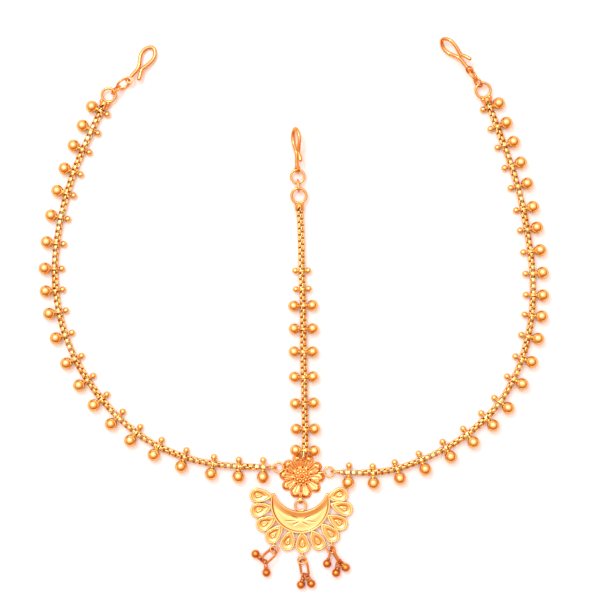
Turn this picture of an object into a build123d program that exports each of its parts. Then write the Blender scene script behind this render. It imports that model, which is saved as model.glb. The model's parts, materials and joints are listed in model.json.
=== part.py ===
"""Maang tikka: a flower rosette with a crescent pendant, hung on three strands of box chain.

Each strand carries soldered ball drops and ends in a ring, a small link, a hook ring and a hair hook.
Millimetres. The jewel lies on the plane z = 0, face up: +Y runs from the pendant towards the hooks, +X is
to the right of someone looking down on it, and the origin is under the middle of the rosette.
"""

import os
from math import asin, atan2, cos, degrees, hypot, pi, radians, sin, tan

from build123d import *

os.makedirs("parts", exist_ok=True)

# box chain: one link is a bent band, and its neighbour is turned a quarter
LINK_LENGTH = 1.74
LINK_HEIGHT = 1.85
LINK_BAND = 0.98
LINK_WALL = 0.33
LINK_CHAMFER = 0.25
END_LINK_LENGTH = 2.2
END_LINK_BAND = 0.8
END_SPACING = 1.17  # from an end link to its neighbour
CENTRE_LINKS = 78
CHAIN_RADIUS = 1.0  # the round tube that stands for a side strand
TUBE_OVERLAP = 0.81  # how far a tube's end link reaches back into the tube
LINK_ROLL = 45

# ball drops: a collar round the chain with a ball soldered on each side
SIDE_BORE = 1.12
SIDE_COLLAR = 1.3
CENTRE_BORE = 1.16
CENTRE_COLLAR = 1.38
COLLAR_WIDTH = 0.5
OUTER_BALL = 1.8
OUTER_REACH = 2.98
INNER_BALL = 0.95
INNER_REACH = 2.13
PAIR_BALL = 1.62
PAIR_REACH = 2.8
GRANULE_BALL = 0.92
GRANULE_REACH = 1.95
NECK_DEPTH = 0.55  # shares of a ball's radius: how far its neck goes in, and the neck's two radii
NECK_NARROW = 0.3
NECK_WIDE = 0.8

# heights of the chains' middles above the table
DROP_TILT = degrees(asin((OUTER_BALL - INNER_BALL) / (OUTER_REACH + INNER_REACH)))
SIDE_HEIGHT = OUTER_BALL - OUTER_REACH * sin(radians(DROP_TILT))
PAIR_HEIGHT = 1.65
GRANULE_HEIGHT = 1.42

# end rings, and the caps that hold the chains to them
END_WIRE = 0.8
LEFT_END_RADIUS = 2.05
RIGHT_END_RADIUS = 2.2
CENTRE_END_RADIUS = 2.2
END_TILT = 6
CAP_RADIUS = 1.3
CAP_BORE = 1.15
CAP_LENGTH = 1.8
CAP_NOTCH = (0.7, 2.2, 1.1, 0.45)  # point and base from the ring's edge, half width, floor
SIDE_LOBES = (1.02, 0.75)  # distance from the strand's middle, radius
CENTRE_LOBES = (0.8, 0.55)
LOBE_SETBACK = 0.05
PIN_SETBACK = 1.05  # from the ring's outer edge
PIN_RADIUS = 0.2
TUBE_SETBACK = 1.6
BAR_SETBACK = 0.2
LEFT_END = (-57.81, 114.09)
RIGHT_END = (54.18, 115.53)
CENTRE_END = (-0.93, 83.97)

# jump rings between the rosette and the side strands
JUMP_RADIUS = 1.3
JUMP_WIRE = 0.55
JUMP_TO_TUBE = 1.69
LEFT_JUMP = (-8.97, 2.7)
RIGHT_JUMP = (10.02, 1.4)

# routes of the side strands between their end ring and their jump ring
LEFT_ROUTE = [
    (-65.0, 99.5),
    (-70.0, 86.5),
    (-73.2, 73.0),
    (-74.3, 59.5),
    (-72.3, 46.0),
    (-67.4, 33.5),
    (-59.4, 22.0),
    (-49.6, 12.6),
    (-38.0, 6.4),
    (-24.5, 3.0),
]
RIGHT_ROUTE = [
    (60.4, 99.5),
    (64.8, 86.5),
    (67.6, 73.0),
    (69.3, 59.5),
    (68.8, 46.0),
    (65.4, 32.8),
    (58.8, 20.8),
    (48.5, 11.4),
    (36.5, 4.9),
    (23.5, 0.6),
]
CENTRE_ROUTE = [
    (-0.93, 83.97, GRANULE_HEIGHT),
    (-0.75, 80.0, GRANULE_HEIGHT),
    (-0.3, 74.0, GRANULE_HEIGHT),
    (-0.1, 62.0, GRANULE_HEIGHT),
    (0.1, 56.0, GRANULE_HEIGHT),
    (0.35, 50.5, PAIR_HEIGHT),
    (0.45, 36.0, PAIR_HEIGHT),
    (0.75, 22.0, PAIR_HEIGHT),
    (1.0, 14.0, PAIR_HEIGHT),
    (0.95, 9.8, 1.98),
    (0.8, 5.8, 2.6),
]

# where the ball drops sit, in millimetres along the strand from its end nearest the hook
LEFT_DROPS = [
    1.3, 7.6, 14.0, 21.2, 28.0, 35.4, 43.2, 50.8, 57.3, 63.8, 71.0,
    78.8, 86.0, 93.1, 100.4, 107.6, 115.4, 123.8, 132.6, 140.4, 147.7,
]
RIGHT_DROPS = [
    1.15, 7.4, 13.4, 19.9, 26.3, 33.3, 39.5, 46.2, 52.8, 59.3, 65.4,
    71.8, 78.7, 85.5, 93.3, 99.7, 107.1, 114.7, 122.9, 130.7, 138.0, 145.3,
]
GRANULE_DROPS = [22.4, 27.9]
PAIR_DROPS = [32.9, 39.8, 46.7, 54.2, 62.1, 69.8, 76.2]

# hook rings, the small oval links before them and the hair hooks after them
OVAL_WIDTH = 2.25
OVAL_WIRE = 0.6
OVAL_PLAY = 0.26
HOOK_RING_WIRE = 0.7
HOOK_WIRE = 1.1
HOOK_CURVE = [  # from the eye, round the loop and back; the free end follows
    (0.95, 0.0),
    (4.9, -0.45),
    (8.0, 0.8),
    (11.1, 0.35),
    (12.05, -1.1),
    (10.8, -2.6),
    (7.8, -2.75),
    (5.0, -1.75),
]
HOOK_ENDS = [(1, -0.1), (-1, -0.25)]  # directions at the eye and at the free end
EYE_RADIUS = 1.2
EYE_HOLE = 0.78
EYE_THICKNESS = 0.6

# rosette
PETALS = 10
PETAL_TURN = -4
PETAL_ROOT = (1.8, 0.35)  # distance from the middle, radius of the petal's round section
PETAL_BODY = [(3.4, 0.95), (5.1, 1.55), (6.35, 1.0)]
PETAL_TIP = (6.8, 0.0)
PETAL_AXIS = 0.5  # height of the petals' axes
SPOON_START = (0.9, 0, 1.9)
SPOON_DROP = 82  # from straight down to the way the spoon's hollow runs
SPOON_RADII = (0.2, 0.55)
SPOON_LENGTH = 3.6
BASE_RADIUS = 4.3
BASE_HEIGHT = 0.9
HUB_RADII = (3.6, 1.2)
HUB_HEIGHT = 0.9
BOSS_RADIUS = 0.75
GRANULE_RINGS = [  # radius of the ring, turn in petals, height, radius of a granule
    (1.5, 0.0, 1.85, 0.36),
    (2.7, 0.5, 1.45, 0.42),
]
SIDE_LOOPS = [(-7.02, 2.7), (8.07, 1.38)]
SIDE_LOOP_RADIUS = 1.45
SIDE_LOOP_WIRE = 0.6
SIDE_LOOP_HEIGHT = 1.3
STEM_HEIGHT = 1.0
STEM_LENGTH = 1.2
STEM_RADIUS = 0.42
STEM_OVERLAP = 0.2
BAIL = (-0.4, -7.0)
BAIL_OUTER = 1.13
BAIL_HOLE = 0.63
BAIL_WIDTH = 1.1
BAIL_SOLDER = (1.3, 0.9)  # length and height of the bar that joins the bail to the petals
BAIL_SETBACK = 0.3
BAIL_DROP = 0.1
TOP_LOOP_RADIUS = 0.87
TOP_LOOP_WIRE = 0.4
TOP_POST = (0.7, 4.75, 1.45)  # middle of the post under the top loop
TOP_POST_TURN = -12
TOP_POST_RADIUS = 0.3
TOP_POST_LENGTH = 1.9

# crescent pendant
CRESCENT_HEIGHT = 1.7
CRESCENT_FLOOR = 0.8
OUTER_CENTRE = (-0.51, -8.1)
OUTER_RADIUS = 8.95
INNER_CENTRE = (-0.45, -2.22)
INNER_RADIUS = 8.3
TIP_LEVEL = -5.6  # where the tips start to round off
CRESCENT_TIPS = [(-8.57, 0.53), (7.61, 0.48)]  # middle of the rounding in x, and its radius
RIM = 0.45
WALL_SLOPE = 30
DROP_HEIGHT = 1.4
PENDANT_RING = (-0.45, -8.64)
PENDANT_RING_RADIUS = 1.625
PENDANT_RING_WIRE = 0.65
LOOP_HEIGHT = 1.13
TEARDROPS = [  # middle of the round end, then the point
    ((-13.5, -5.7), (-9.1, -5.9)),
    ((-13.3, -10.2), (-9.3, -9.0)),
    ((-11.6, -14.4), (-7.9, -12.5)),
    ((-8.9, -18.0), (-5.9, -14.8)),
    ((-4.4, -20.1), (-3.1, -16.5)),
    ((0.2, -20.8), (0.0, -16.8)),
    ((5.0, -20.0), (3.0, -16.4)),
    ((9.1, -17.7), (5.9, -14.4)),
    ((11.5, -14.1), (7.7, -11.8)),
    ((13.0, -9.8), (8.8, -8.3)),
    ((11.6, -5.45), (8.0, -6.4)),
]
TEARDROP_RADIUS = 2.2
TEARDROP_SHOULDER = (0.48, 0.72)  # shares of the reach and of the radius
TEARDROP_POINT = 0.3
CHANNEL_EDGES = (0.45, 0.95)  # in from the outline
CHANNEL_DEPTH = 0.5
HOLLOW_EDGE = 1.4
HOLLOW_DEPTH = 0.35
SOLDER_OVERLAP = 0.4  # how far a teardrop's point goes into the crescent
BELL_LOOP_RADIUS = 1.175
BELL_LOOP_WIRE = 0.55
BELL_LOOP_HEIGHT = 1.35
BELL_STEM_HEIGHT = 0.95
BELL_STEM_RADIUS = 0.42
BELL_STEM_LENGTH = 1.3
BELL_STEM_SETBACK = 0.6  # from the loop's wire to the stem's middle
LEFT_BELL_LOOP = (-8.25, -21.8)
CENTRE_BELL_LOOP = (-0.03, -24.9)
RIGHT_BELL_LOOP = (8.64, -21.7)

# bells and the oval rings of two turns of wire that they hang on
BELL_RADIUS = 1.25
BELL_NECK = 0.55
BELL_EYE_WIRE = 0.45
BELL_EYE_START = 0.9  # from the ball's middle to the near end of its eye
RING_EYE_WIDTH = 1.55
RING_EYE_REACH = 0.94  # how far an eye goes past the ring's wire
LOOP_EYE_WIDTH = 1.3
LOOP_EYE_REACH = 0.7
BELL_RING_WIRE = 0.45
BELL_RING_TURN = 0.36  # from one turn of wire to the next
BELL_RING_PLAY = 0.03  # between a bell ring and the table


ON_ITS_BASE = (Align.CENTER, Align.CENTER, Align.MIN)


def leaning(x, y, z, heading=0.0, lean=0.0, pitch=0.0):
    """Plane at a point: its x axis follows the heading, raised by the pitch, and it leans about that axis."""
    turned = Location((x, y, z)) * Location((0, 0, 0), (0, 0, heading))
    raised = turned * Location((0, 0, 0), (0, -pitch, 0))
    return Plane(raised * Location((0, 0, 0), (lean, 0, 0)))


def heading_of(start, end):
    """Compass of the straight line from one point to another, in degrees from +X."""
    return degrees(atan2(end[1] - start[1], end[0] - start[0]))


def onward(start, end, distance):
    """The point at a distance from the start, on the line towards the end."""
    angle = radians(heading_of(start, end))
    return (start[0] + distance * cos(angle), start[1] + distance * sin(angle))


def corner_radii(points):
    """Bend radius at each inner point: 0.45 of the shorter run over the tangent of half the turn."""
    corners = [Vector(*point) for point in points]
    radii = []
    for before, corner, after in zip(corners, corners[1:], corners[2:]):
        arriving = corner - before
        leaving = after - corner
        half_turn = radians(arriving.get_angle(leaving)) / 2
        radii.append(0.45 * min(arriving.length, leaving.length) / tan(half_turn))
    return radii


def strand_path(points):
    """Centre line of a strand: straight runs joined by tangent arcs."""
    with BuildLine() as line:
        FilletPolyline(*points, radius=corner_radii(points))
    return line.wire()


def station(path, distance, roll=0.0):
    """Plane across a strand's side at a distance along it: x along the strand, z up, rolled about x."""
    share = distance / path.length
    point = path @ share
    along = path % share
    pitch = degrees(asin(max(-1.0, min(1.0, along.Z))))
    return leaning(point.X, point.Y, point.Z, degrees(atan2(along.Y, along.X)), roll, pitch)


def box_link(length, band):
    """One link of box chain, along X, with its hollow facing Z."""
    with BuildPart() as link:
        with BuildSketch() as outline:
            Rectangle(length, LINK_HEIGHT)
            chamfer(outline.vertices(), LINK_CHAMFER)
            Rectangle(length - 2 * LINK_WALL, LINK_HEIGHT - 2 * LINK_WALL, mode=Mode.SUBTRACT)
        extrude(amount=band / 2, both=True)
    return link.part


def wire_oval(length, width, wire):
    """Closed oval of round wire in the XY plane; length and width are between wire centres."""
    half = width / 2
    run = length / 2 - half
    with BuildPart() as oval:
        with BuildLine() as line:
            Line((-run, half), (run, half))
            ThreePointArc((run, half), (run + half, 0), (run, -half))
            Line((run, -half), (-run, -half))
            ThreePointArc((-run, -half), (-run - half, 0), (-run, half))
        path = line.wire()
        with BuildSketch(Plane(origin=path @ 0, z_dir=path % 0)):
            Circle(wire / 2)
        sweep(path=path)
    return oval.part


def ball_drop(bore, collar, balls):
    """Collar round X with balls on its sides; each ball is (reach along Y, radius)."""
    with BuildPart() as drop:
        with Locations(Plane.YZ.location):
            Cylinder(collar, COLLAR_WIDTH)
        for reach, radius in balls:
            side = 1 if reach > 0 else -1
            neck = abs(reach) - NECK_DEPTH * radius
            with Locations(Location((0, side * (bore + neck) / 2, 0), (-90 * side, 0, 0))):
                Cone(NECK_NARROW * radius, NECK_WIDE * radius, neck - bore)
            with Locations((0, reach, 0)):
                Sphere(radius)
        with Locations(Plane.YZ.location):
            Cylinder(bore, 8, mode=Mode.SUBTRACT)
    return drop.part


def teardrop(radius, reach, edge):
    """Teardrop outline, its round end on the origin and its point along X, shrunk by an edge."""
    along, width = TEARDROP_SHOULDER
    with BuildSketch() as shape:
        with BuildLine():
            CenterArc((0, 0), radius - edge, 0, 360)
            CenterArc((along * reach, 0), width * radius - edge, 0, 360)
            CenterArc((reach - TEARDROP_POINT - 1.3 * edge, 0), TEARDROP_POINT, 0, 360)
        make_hull()
    return shape.sketch


def hook(tail):
    """Hair hook in the XY plane: eye on the origin, loop along X; the tail is the free end's point."""
    with BuildPart() as bent:
        with BuildLine() as line:
            Spline(*HOOK_CURVE, tail, tangents=HOOK_ENDS)
        path = line.wire()
        with BuildSketch(Plane(origin=path @ 0, z_dir=path % 0)):
            Circle(HOOK_WIRE / 2)
        sweep(path=path)
        with Locations(path @ 1):
            Sphere(HOOK_WIRE / 2)
        Cylinder(EYE_RADIUS, EYE_THICKNESS)
        Cylinder(EYE_HOLE, 4, mode=Mode.SUBTRACT)
    return bent.part


def bell(ball, target, width, reach, lean):
    """Round bell resting on the table, with an oval eye that goes past the target (x, y, z) by the reach."""
    far = hypot(target[0] - ball[0], target[1] - ball[1]) + reach
    angle = heading_of(ball, target)
    middle = onward(ball, target, (BELL_EYE_START + far) / 2)
    outwards = leaning(*ball, BELL_RADIUS, angle).location
    with BuildPart() as shape:
        with Locations((*ball, BELL_RADIUS)):
            Sphere(BELL_RADIUS)
        with Locations(outwards * Location((BELL_RADIUS, 0, 0), (0, 90, 0))):
            Cylinder(BELL_NECK, 2 * BELL_EYE_WIRE)
        with Locations(leaning(*middle, target[2], angle, lean).location):
            add(wire_oval(far - BELL_EYE_START, width, BELL_EYE_WIRE))
    return shape.part


def bell_ring_place(start, end, width, lean):
    """Where a bell ring's middle is as it leans on the table between two points."""
    side_drop = width / 2 * sin(radians(lean)) + BELL_RING_TURN / 2 * cos(radians(lean))
    height = side_drop + BELL_RING_WIRE / 2 + BELL_RING_PLAY
    middle = ((start[0] + end[0]) / 2, (start[1] + end[1]) / 2)
    return leaning(*middle, height, heading_of(start, end), lean).location


def bell_ring(start, end, width, lean):
    """Oval ring of two turns of wire from one wire centre to another."""
    turn = wire_oval(hypot(end[0] - start[0], end[1] - start[1]), width, BELL_RING_WIRE)
    place = bell_ring_place(start, end, width, lean)
    half_turn = Location((0, 0, BELL_RING_TURN / 2))
    with BuildPart() as shape:
        with Locations(place * half_turn, place * half_turn.inverse()):
            add(turn)
    return shape.part


def hung_bell(ball, ring, shift):
    """Bell whose eye stands square to a bell ring's far bend, at a shift across that bend."""
    start, end, width, lean = ring
    half = width / 2
    bend = asin(shift / half)
    length = hypot(end[0] - start[0], end[1] - start[1])
    place = bell_ring_place(*ring)
    target = (place * Location((length / 2 - half + half * cos(bend), shift, 0))).position
    wire_way = (place * Location((-sin(bend), cos(bend), 0))).position - place.position
    away = radians(heading_of(ball, (target.X, target.Y)))
    sideways = wire_way.Y * cos(away) - wire_way.X * sin(away)
    eye_lean = degrees(atan2(-sideways, wire_way.Z))
    return bell(ball, (target.X, target.Y, target.Z), RING_EYE_WIDTH, RING_EYE_REACH, eye_lean)


def end_ring(centre, radius, height, angle, lobes):
    """Ring with its chain cap and cross pin; the angle points from the ring's middle to the chain."""
    lobe_reach, lobe_radius = lobes
    notch_point, notch_base, notch_half, notch_floor = CAP_NOTCH
    edge = radius + END_WIRE / 2
    hinge = leaning(centre[0], centre[1], height, angle).location
    rise = radius * sin(radians(END_TILT))
    with BuildPart() as ring:
        with Locations(leaning(centre[0], centre[1], height + rise, angle + 180, 0, END_TILT).location):
            Torus(radius, END_WIRE / 2)
        with Locations(hinge * Location((edge + CAP_LENGTH / 2, 0, 0), (0, 90, 0))):
            Cylinder(CAP_RADIUS, CAP_LENGTH)
        for side in (1, -1):
            with Locations(hinge * Location((edge + LOBE_SETBACK, side * lobe_reach, 0))):
                Sphere(lobe_radius)
        with Locations(hinge * Location((edge + LOBE_SETBACK + CAP_LENGTH, 0, 0), (0, 90, 0))):
            Cylinder(CAP_BORE, 2 * CAP_LENGTH, mode=Mode.SUBTRACT)
        with BuildSketch(Plane(hinge * Location((0, 0, notch_floor)))):
            with BuildLine():
                Polyline(
                    (edge + notch_point, 0),
                    (edge + notch_base, -notch_half),
                    (edge + notch_base, notch_half),
                    close=True,
                )
            make_face()
        extrude(amount=CAP_RADIUS, mode=Mode.SUBTRACT)
        with Locations(hinge * Location((edge + PIN_SETBACK, 0, 0), (LINK_ROLL, 0, 0))):
            Cylinder(PIN_RADIUS, 2 * CAP_RADIUS - 0.1)
    return ring.part


# strand centre lines
left_first = onward(LEFT_END, LEFT_ROUTE[0], LEFT_END_RADIUS + END_WIRE / 2 + TUBE_SETBACK)
left_last = onward(LEFT_JUMP, LEFT_ROUTE[-1], JUMP_TO_TUBE)
left_points = [(x, y, SIDE_HEIGHT) for x, y in [left_first, *LEFT_ROUTE, left_last]]
left_path = strand_path(left_points)
right_first = onward(RIGHT_END, RIGHT_ROUTE[0], RIGHT_END_RADIUS + END_WIRE / 2 + TUBE_SETBACK)
right_last = onward(RIGHT_JUMP, RIGHT_ROUTE[-1], JUMP_TO_TUBE)
right_points = [(x, y, SIDE_HEIGHT) for x, y in [right_first, *RIGHT_ROUTE, right_last]]
right_path = strand_path(right_points)
with BuildLine() as centre_line:
    Spline(*CENTRE_ROUTE)
centre_path = centre_line.wire()

tube_link = box_link(END_LINK_LENGTH, END_LINK_BAND)


def side_strand(path):
    """Tube along a strand with an end link fused at each end: slanted at the cap, level at the jump ring."""
    reach = END_LINK_LENGTH / 2 - TUBE_OVERLAP
    with BuildPart() as strand:
        with BuildSketch(Plane(origin=path @ 0, z_dir=path % 0)):
            Circle(CHAIN_RADIUS)
        sweep(path=path)
        with Locations(station(path, 0, LINK_ROLL).location * Location((-reach, 0, 0))):
            add(tube_link)
        with Locations(station(path, path.length).location * Location((reach, 0, 0))):
            add(tube_link)
    return strand.part


with BuildPart() as left_chain:
    add(side_strand(left_path))

with BuildPart() as right_chain:
    add(side_strand(right_path))

for name, path, points in [("left", left_path, left_points), ("right", right_path, right_points)]:
    radii = [round(radius, 1) for radius in corner_radii(points)]
    with BuildPart() as plain_tube:
        with BuildSketch(Plane(origin=path @ 0, z_dir=path % 0)):
            Circle(CHAIN_RADIUS)
        sweep(path=path)
    share = plain_tube.part.volume / (pi * CHAIN_RADIUS**2 * path.length)
    print(name, "length", round(path.length, 2), "radii", radii, "volume share", round(share, 4))

# centre strand, link by link
centre_first = CENTRE_END_RADIUS + END_WIRE / 2 + BAR_SETBACK + END_LINK_LENGTH / 2
centre_last = centre_path.length + LINK_WALL / 2 - END_LINK_LENGTH / 2
centre_pitch = (centre_last - centre_first - 2 * END_SPACING) / (CENTRE_LINKS - 3)
middle_places = []
for index in range(1, CENTRE_LINKS - 1):
    distance = centre_first + END_SPACING + (index - 1) * centre_pitch
    middle_places.append(station(centre_path, distance, LINK_ROLL if index % 2 == 0 else -LINK_ROLL).location)
with BuildPart() as centre_chain:
    with Locations(*middle_places):
        add(box_link(LINK_LENGTH, LINK_BAND))
    with Locations(station(centre_path, centre_first, LINK_ROLL).location):
        add(tube_link)
    with Locations(station(centre_path, centre_last, -LINK_ROLL).location):
        add(tube_link)
print("centre strand pitch", round(centre_pitch, 4), "length", round(centre_path.length, 2))

# ball drops; the larger ball is on the outside of the jewel and rests on the table
side_drop = ball_drop(SIDE_BORE, SIDE_COLLAR, [(OUTER_REACH, OUTER_BALL), (-INNER_REACH, INNER_BALL)])
with BuildPart() as left_bead_drops:
    turn = Location((0, 0, 0), (0, 0, 180))
    with Locations(*[station(left_path, place, -DROP_TILT).location * turn for place in LEFT_DROPS]):
        add(side_drop)

with BuildPart() as right_bead_drops:
    with Locations(*[station(right_path, place, DROP_TILT).location for place in RIGHT_DROPS]):
        add(side_drop)

pair_balls = [(PAIR_REACH, PAIR_BALL), (-PAIR_REACH, PAIR_BALL)]
granule_balls = [(GRANULE_REACH, GRANULE_BALL), (-GRANULE_REACH, GRANULE_BALL)]
pair_drop = ball_drop(CENTRE_BORE, CENTRE_COLLAR, pair_balls)
granule_drop = ball_drop(CENTRE_BORE, CENTRE_COLLAR, granule_balls)
with BuildPart() as centre_bead_drops:
    with Locations(*[station(centre_path, place).location for place in PAIR_DROPS]):
        add(pair_drop)
    with Locations(*[station(centre_path, place).location for place in GRANULE_DROPS]):
        add(granule_drop)

# end rings with their caps
left_angle = heading_of(LEFT_END, LEFT_ROUTE[0])
right_angle = heading_of(RIGHT_END, RIGHT_ROUTE[0])
centre_angle = heading_of(CENTRE_ROUTE[0], CENTRE_ROUTE[1])
with BuildPart() as left_end_ring:
    add(end_ring(LEFT_END, LEFT_END_RADIUS, SIDE_HEIGHT, left_angle, SIDE_LOBES))

with BuildPart() as right_end_ring:
    add(end_ring(RIGHT_END, RIGHT_END_RADIUS, SIDE_HEIGHT, right_angle, SIDE_LOBES))

with BuildPart() as centre_end_ring:
    add(end_ring(CENTRE_END, CENTRE_END_RADIUS, GRANULE_HEIGHT, centre_angle, CENTRE_LOBES))

# jump rings, upright in line with their strands
left_jump_angle = heading_of(LEFT_JUMP, LEFT_ROUTE[-1])
right_jump_angle = heading_of(RIGHT_JUMP, RIGHT_ROUTE[-1])
jump_height = JUMP_RADIUS + JUMP_WIRE / 2
with BuildPart() as left_jump_ring:
    with Locations(leaning(*LEFT_JUMP, jump_height, left_jump_angle, 90).location):
        Torus(JUMP_RADIUS, JUMP_WIRE / 2)

with BuildPart() as right_jump_ring:
    with Locations(leaning(*RIGHT_JUMP, jump_height, right_jump_angle, 90).location):
        Torus(JUMP_RADIUS, JUMP_WIRE / 2)

# hook rings, each with how it and its hook lie
HOOK_SETS = {
    "left": dict(ring=(-53.4, 117.3, 2.27), radius=2.1, lean=66, hook_heading=60, hook_lean=0),
    "right": dict(ring=(51.2, 119.95, 2.1), radius=1.9, lean=66, hook_heading=136, hook_lean=-45),
    "centre": dict(ring=(-1.3, 89.75, 1.5), radius=2.0, lean=0, hook_heading=95, hook_lean=-62),
}
END_SETS = {
    "left": (LEFT_END, LEFT_END_RADIUS, SIDE_HEIGHT),
    "right": (RIGHT_END, RIGHT_END_RADIUS, SIDE_HEIGHT),
    "centre": (CENTRE_END, CENTRE_END_RADIUS, GRANULE_HEIGHT),
}
HOOK_PITCH = {"left": -8, "right": -5, "centre": 1}
HOOK_TAIL = {"left": (1.7, -2.4), "right": (2.0, -2.9), "centre": (2.6, -2.6)}
OVAL_LEAN = {"left": -55, "right": -55, "centre": 90}

hook_parts = {}
for side, row in HOOK_SETS.items():
    end_centre, end_radius, end_height = END_SETS[side]
    far_height = end_height + 2 * end_radius * sin(radians(END_TILT))
    x, y, z = row["ring"]
    start = onward(end_centre, (x, y), end_radius)
    finish = onward((x, y), end_centre, row["radius"])
    gap = hypot(finish[0] - start[0], finish[1] - start[1])
    slant = hypot(gap, z - far_height)
    length = slant + END_WIRE / 2 + HOOK_RING_WIRE / 2 + 2 * OVAL_PLAY + OVAL_WIRE
    pitch = degrees(atan2(z - far_height, gap))
    middle = ((start[0] + finish[0]) / 2, (start[1] + finish[1]) / 2, (z + far_height) / 2)
    heading = heading_of(end_centre, (x, y))
    print(side, "heading", round(heading, 1), "gap", round(gap, 2), "pitch", round(pitch, 1))
    with BuildPart() as oval_link:
        with Locations(leaning(*middle, heading, OVAL_LEAN[side], pitch).location):
            add(wire_oval(length, OVAL_WIDTH, OVAL_WIRE))
    with BuildPart() as hook_ring:
        with Locations(leaning(x, y, z, heading, row["lean"]).location):
            Torus(row["radius"], HOOK_RING_WIRE / 2)
    eye = onward((x, y), onward((x, y), end_centre, -1), row["radius"] + 0.1)
    with BuildPart() as hair_hook:
        with Locations(leaning(*eye, z, row["hook_heading"], row["hook_lean"], HOOK_PITCH[side]).location):
            add(hook(HOOK_TAIL[side]))
    hook_parts[side + "_oval_link"] = oval_link.part
    hook_parts[side + "_hook_ring"] = hook_ring.part
    hook_parts[side + "_hook"] = hair_hook.part

# rosette: petals round a hub, with granules, ribs and four soldered loops
petal_turns = [PETAL_TURN + 360 / PETALS * index for index in range(PETALS)]
with BuildPart() as petal:
    with BuildSketch(Plane.XZ):
        with BuildLine():
            Spline(PETAL_ROOT, *PETAL_BODY, PETAL_TIP)
            Polyline(PETAL_TIP, (PETAL_ROOT[0], 0), PETAL_ROOT)
        make_face()
    revolve(axis=Axis.X, revolution_arc=360)
    with Locations(Location(SPOON_START, (0, SPOON_DROP, 0))):
        Cone(*SPOON_RADII, SPOON_LENGTH, align=ON_ITS_BASE, mode=Mode.SUBTRACT)

with BuildPart() as rosette:
    with Locations(*[Location((0, 0, PETAL_AXIS), (0, 0, turn)) for turn in petal_turns]):
        add(petal.part)
    Cylinder(BASE_RADIUS, BASE_HEIGHT, align=ON_ITS_BASE)
    with Locations((0, 0, BASE_HEIGHT)):
        Cone(*HUB_RADII, HUB_HEIGHT, align=ON_ITS_BASE)
    with Locations((0, 0, BASE_HEIGHT + HUB_HEIGHT)):
        Sphere(BOSS_RADIUS)
    for ring_radius, turn, height, radius in GRANULE_RINGS:
        with PolarLocations(ring_radius, PETALS, PETAL_TURN + turn * 360 / PETALS):
            with Locations((0, 0, height)):
                Sphere(radius)
    Cylinder(PETAL_TIP[0] + 1, 3, align=(Align.CENTER, Align.CENTER, Align.MAX), mode=Mode.SUBTRACT)
    for loop in SIDE_LOOPS:
        with Locations((*loop, SIDE_LOOP_HEIGHT)):
            Torus(SIDE_LOOP_RADIUS, SIDE_LOOP_WIRE / 2)
        outwards = leaning(0, 0, STEM_HEIGHT, heading_of((0, 0), loop)).location
        distance = hypot(*loop) - SIDE_LOOP_RADIUS - STEM_LENGTH / 2
        with Locations(outwards * Location((distance, 0, 0), (0, 90, 0))):
            Cylinder(STEM_RADIUS, STEM_LENGTH + STEM_OVERLAP)
    with Locations(Location((*BAIL, LOOP_HEIGHT), (0, 90, 0))):
        Cylinder(BAIL_OUTER, BAIL_WIDTH)
        Cylinder(BAIL_HOLE, BAIL_WIDTH, mode=Mode.SUBTRACT)
    with Locations((BAIL[0], BAIL[1] + BAIL_OUTER + BAIL_SETBACK, LOOP_HEIGHT - BAIL_DROP)):
        Box(BAIL_WIDTH, *BAIL_SOLDER)
    chain_end = station(centre_path, centre_path.length, -LINK_ROLL).location
    with Locations(chain_end * Location((0, 0, 0), (90, 0, 0))):
        Torus(TOP_LOOP_RADIUS, TOP_LOOP_WIRE / 2)
    with Locations(Location(TOP_POST, (TOP_POST_TURN, 0, 0))):
        Cylinder(TOP_POST_RADIUS, TOP_POST_LENGTH)

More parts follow.
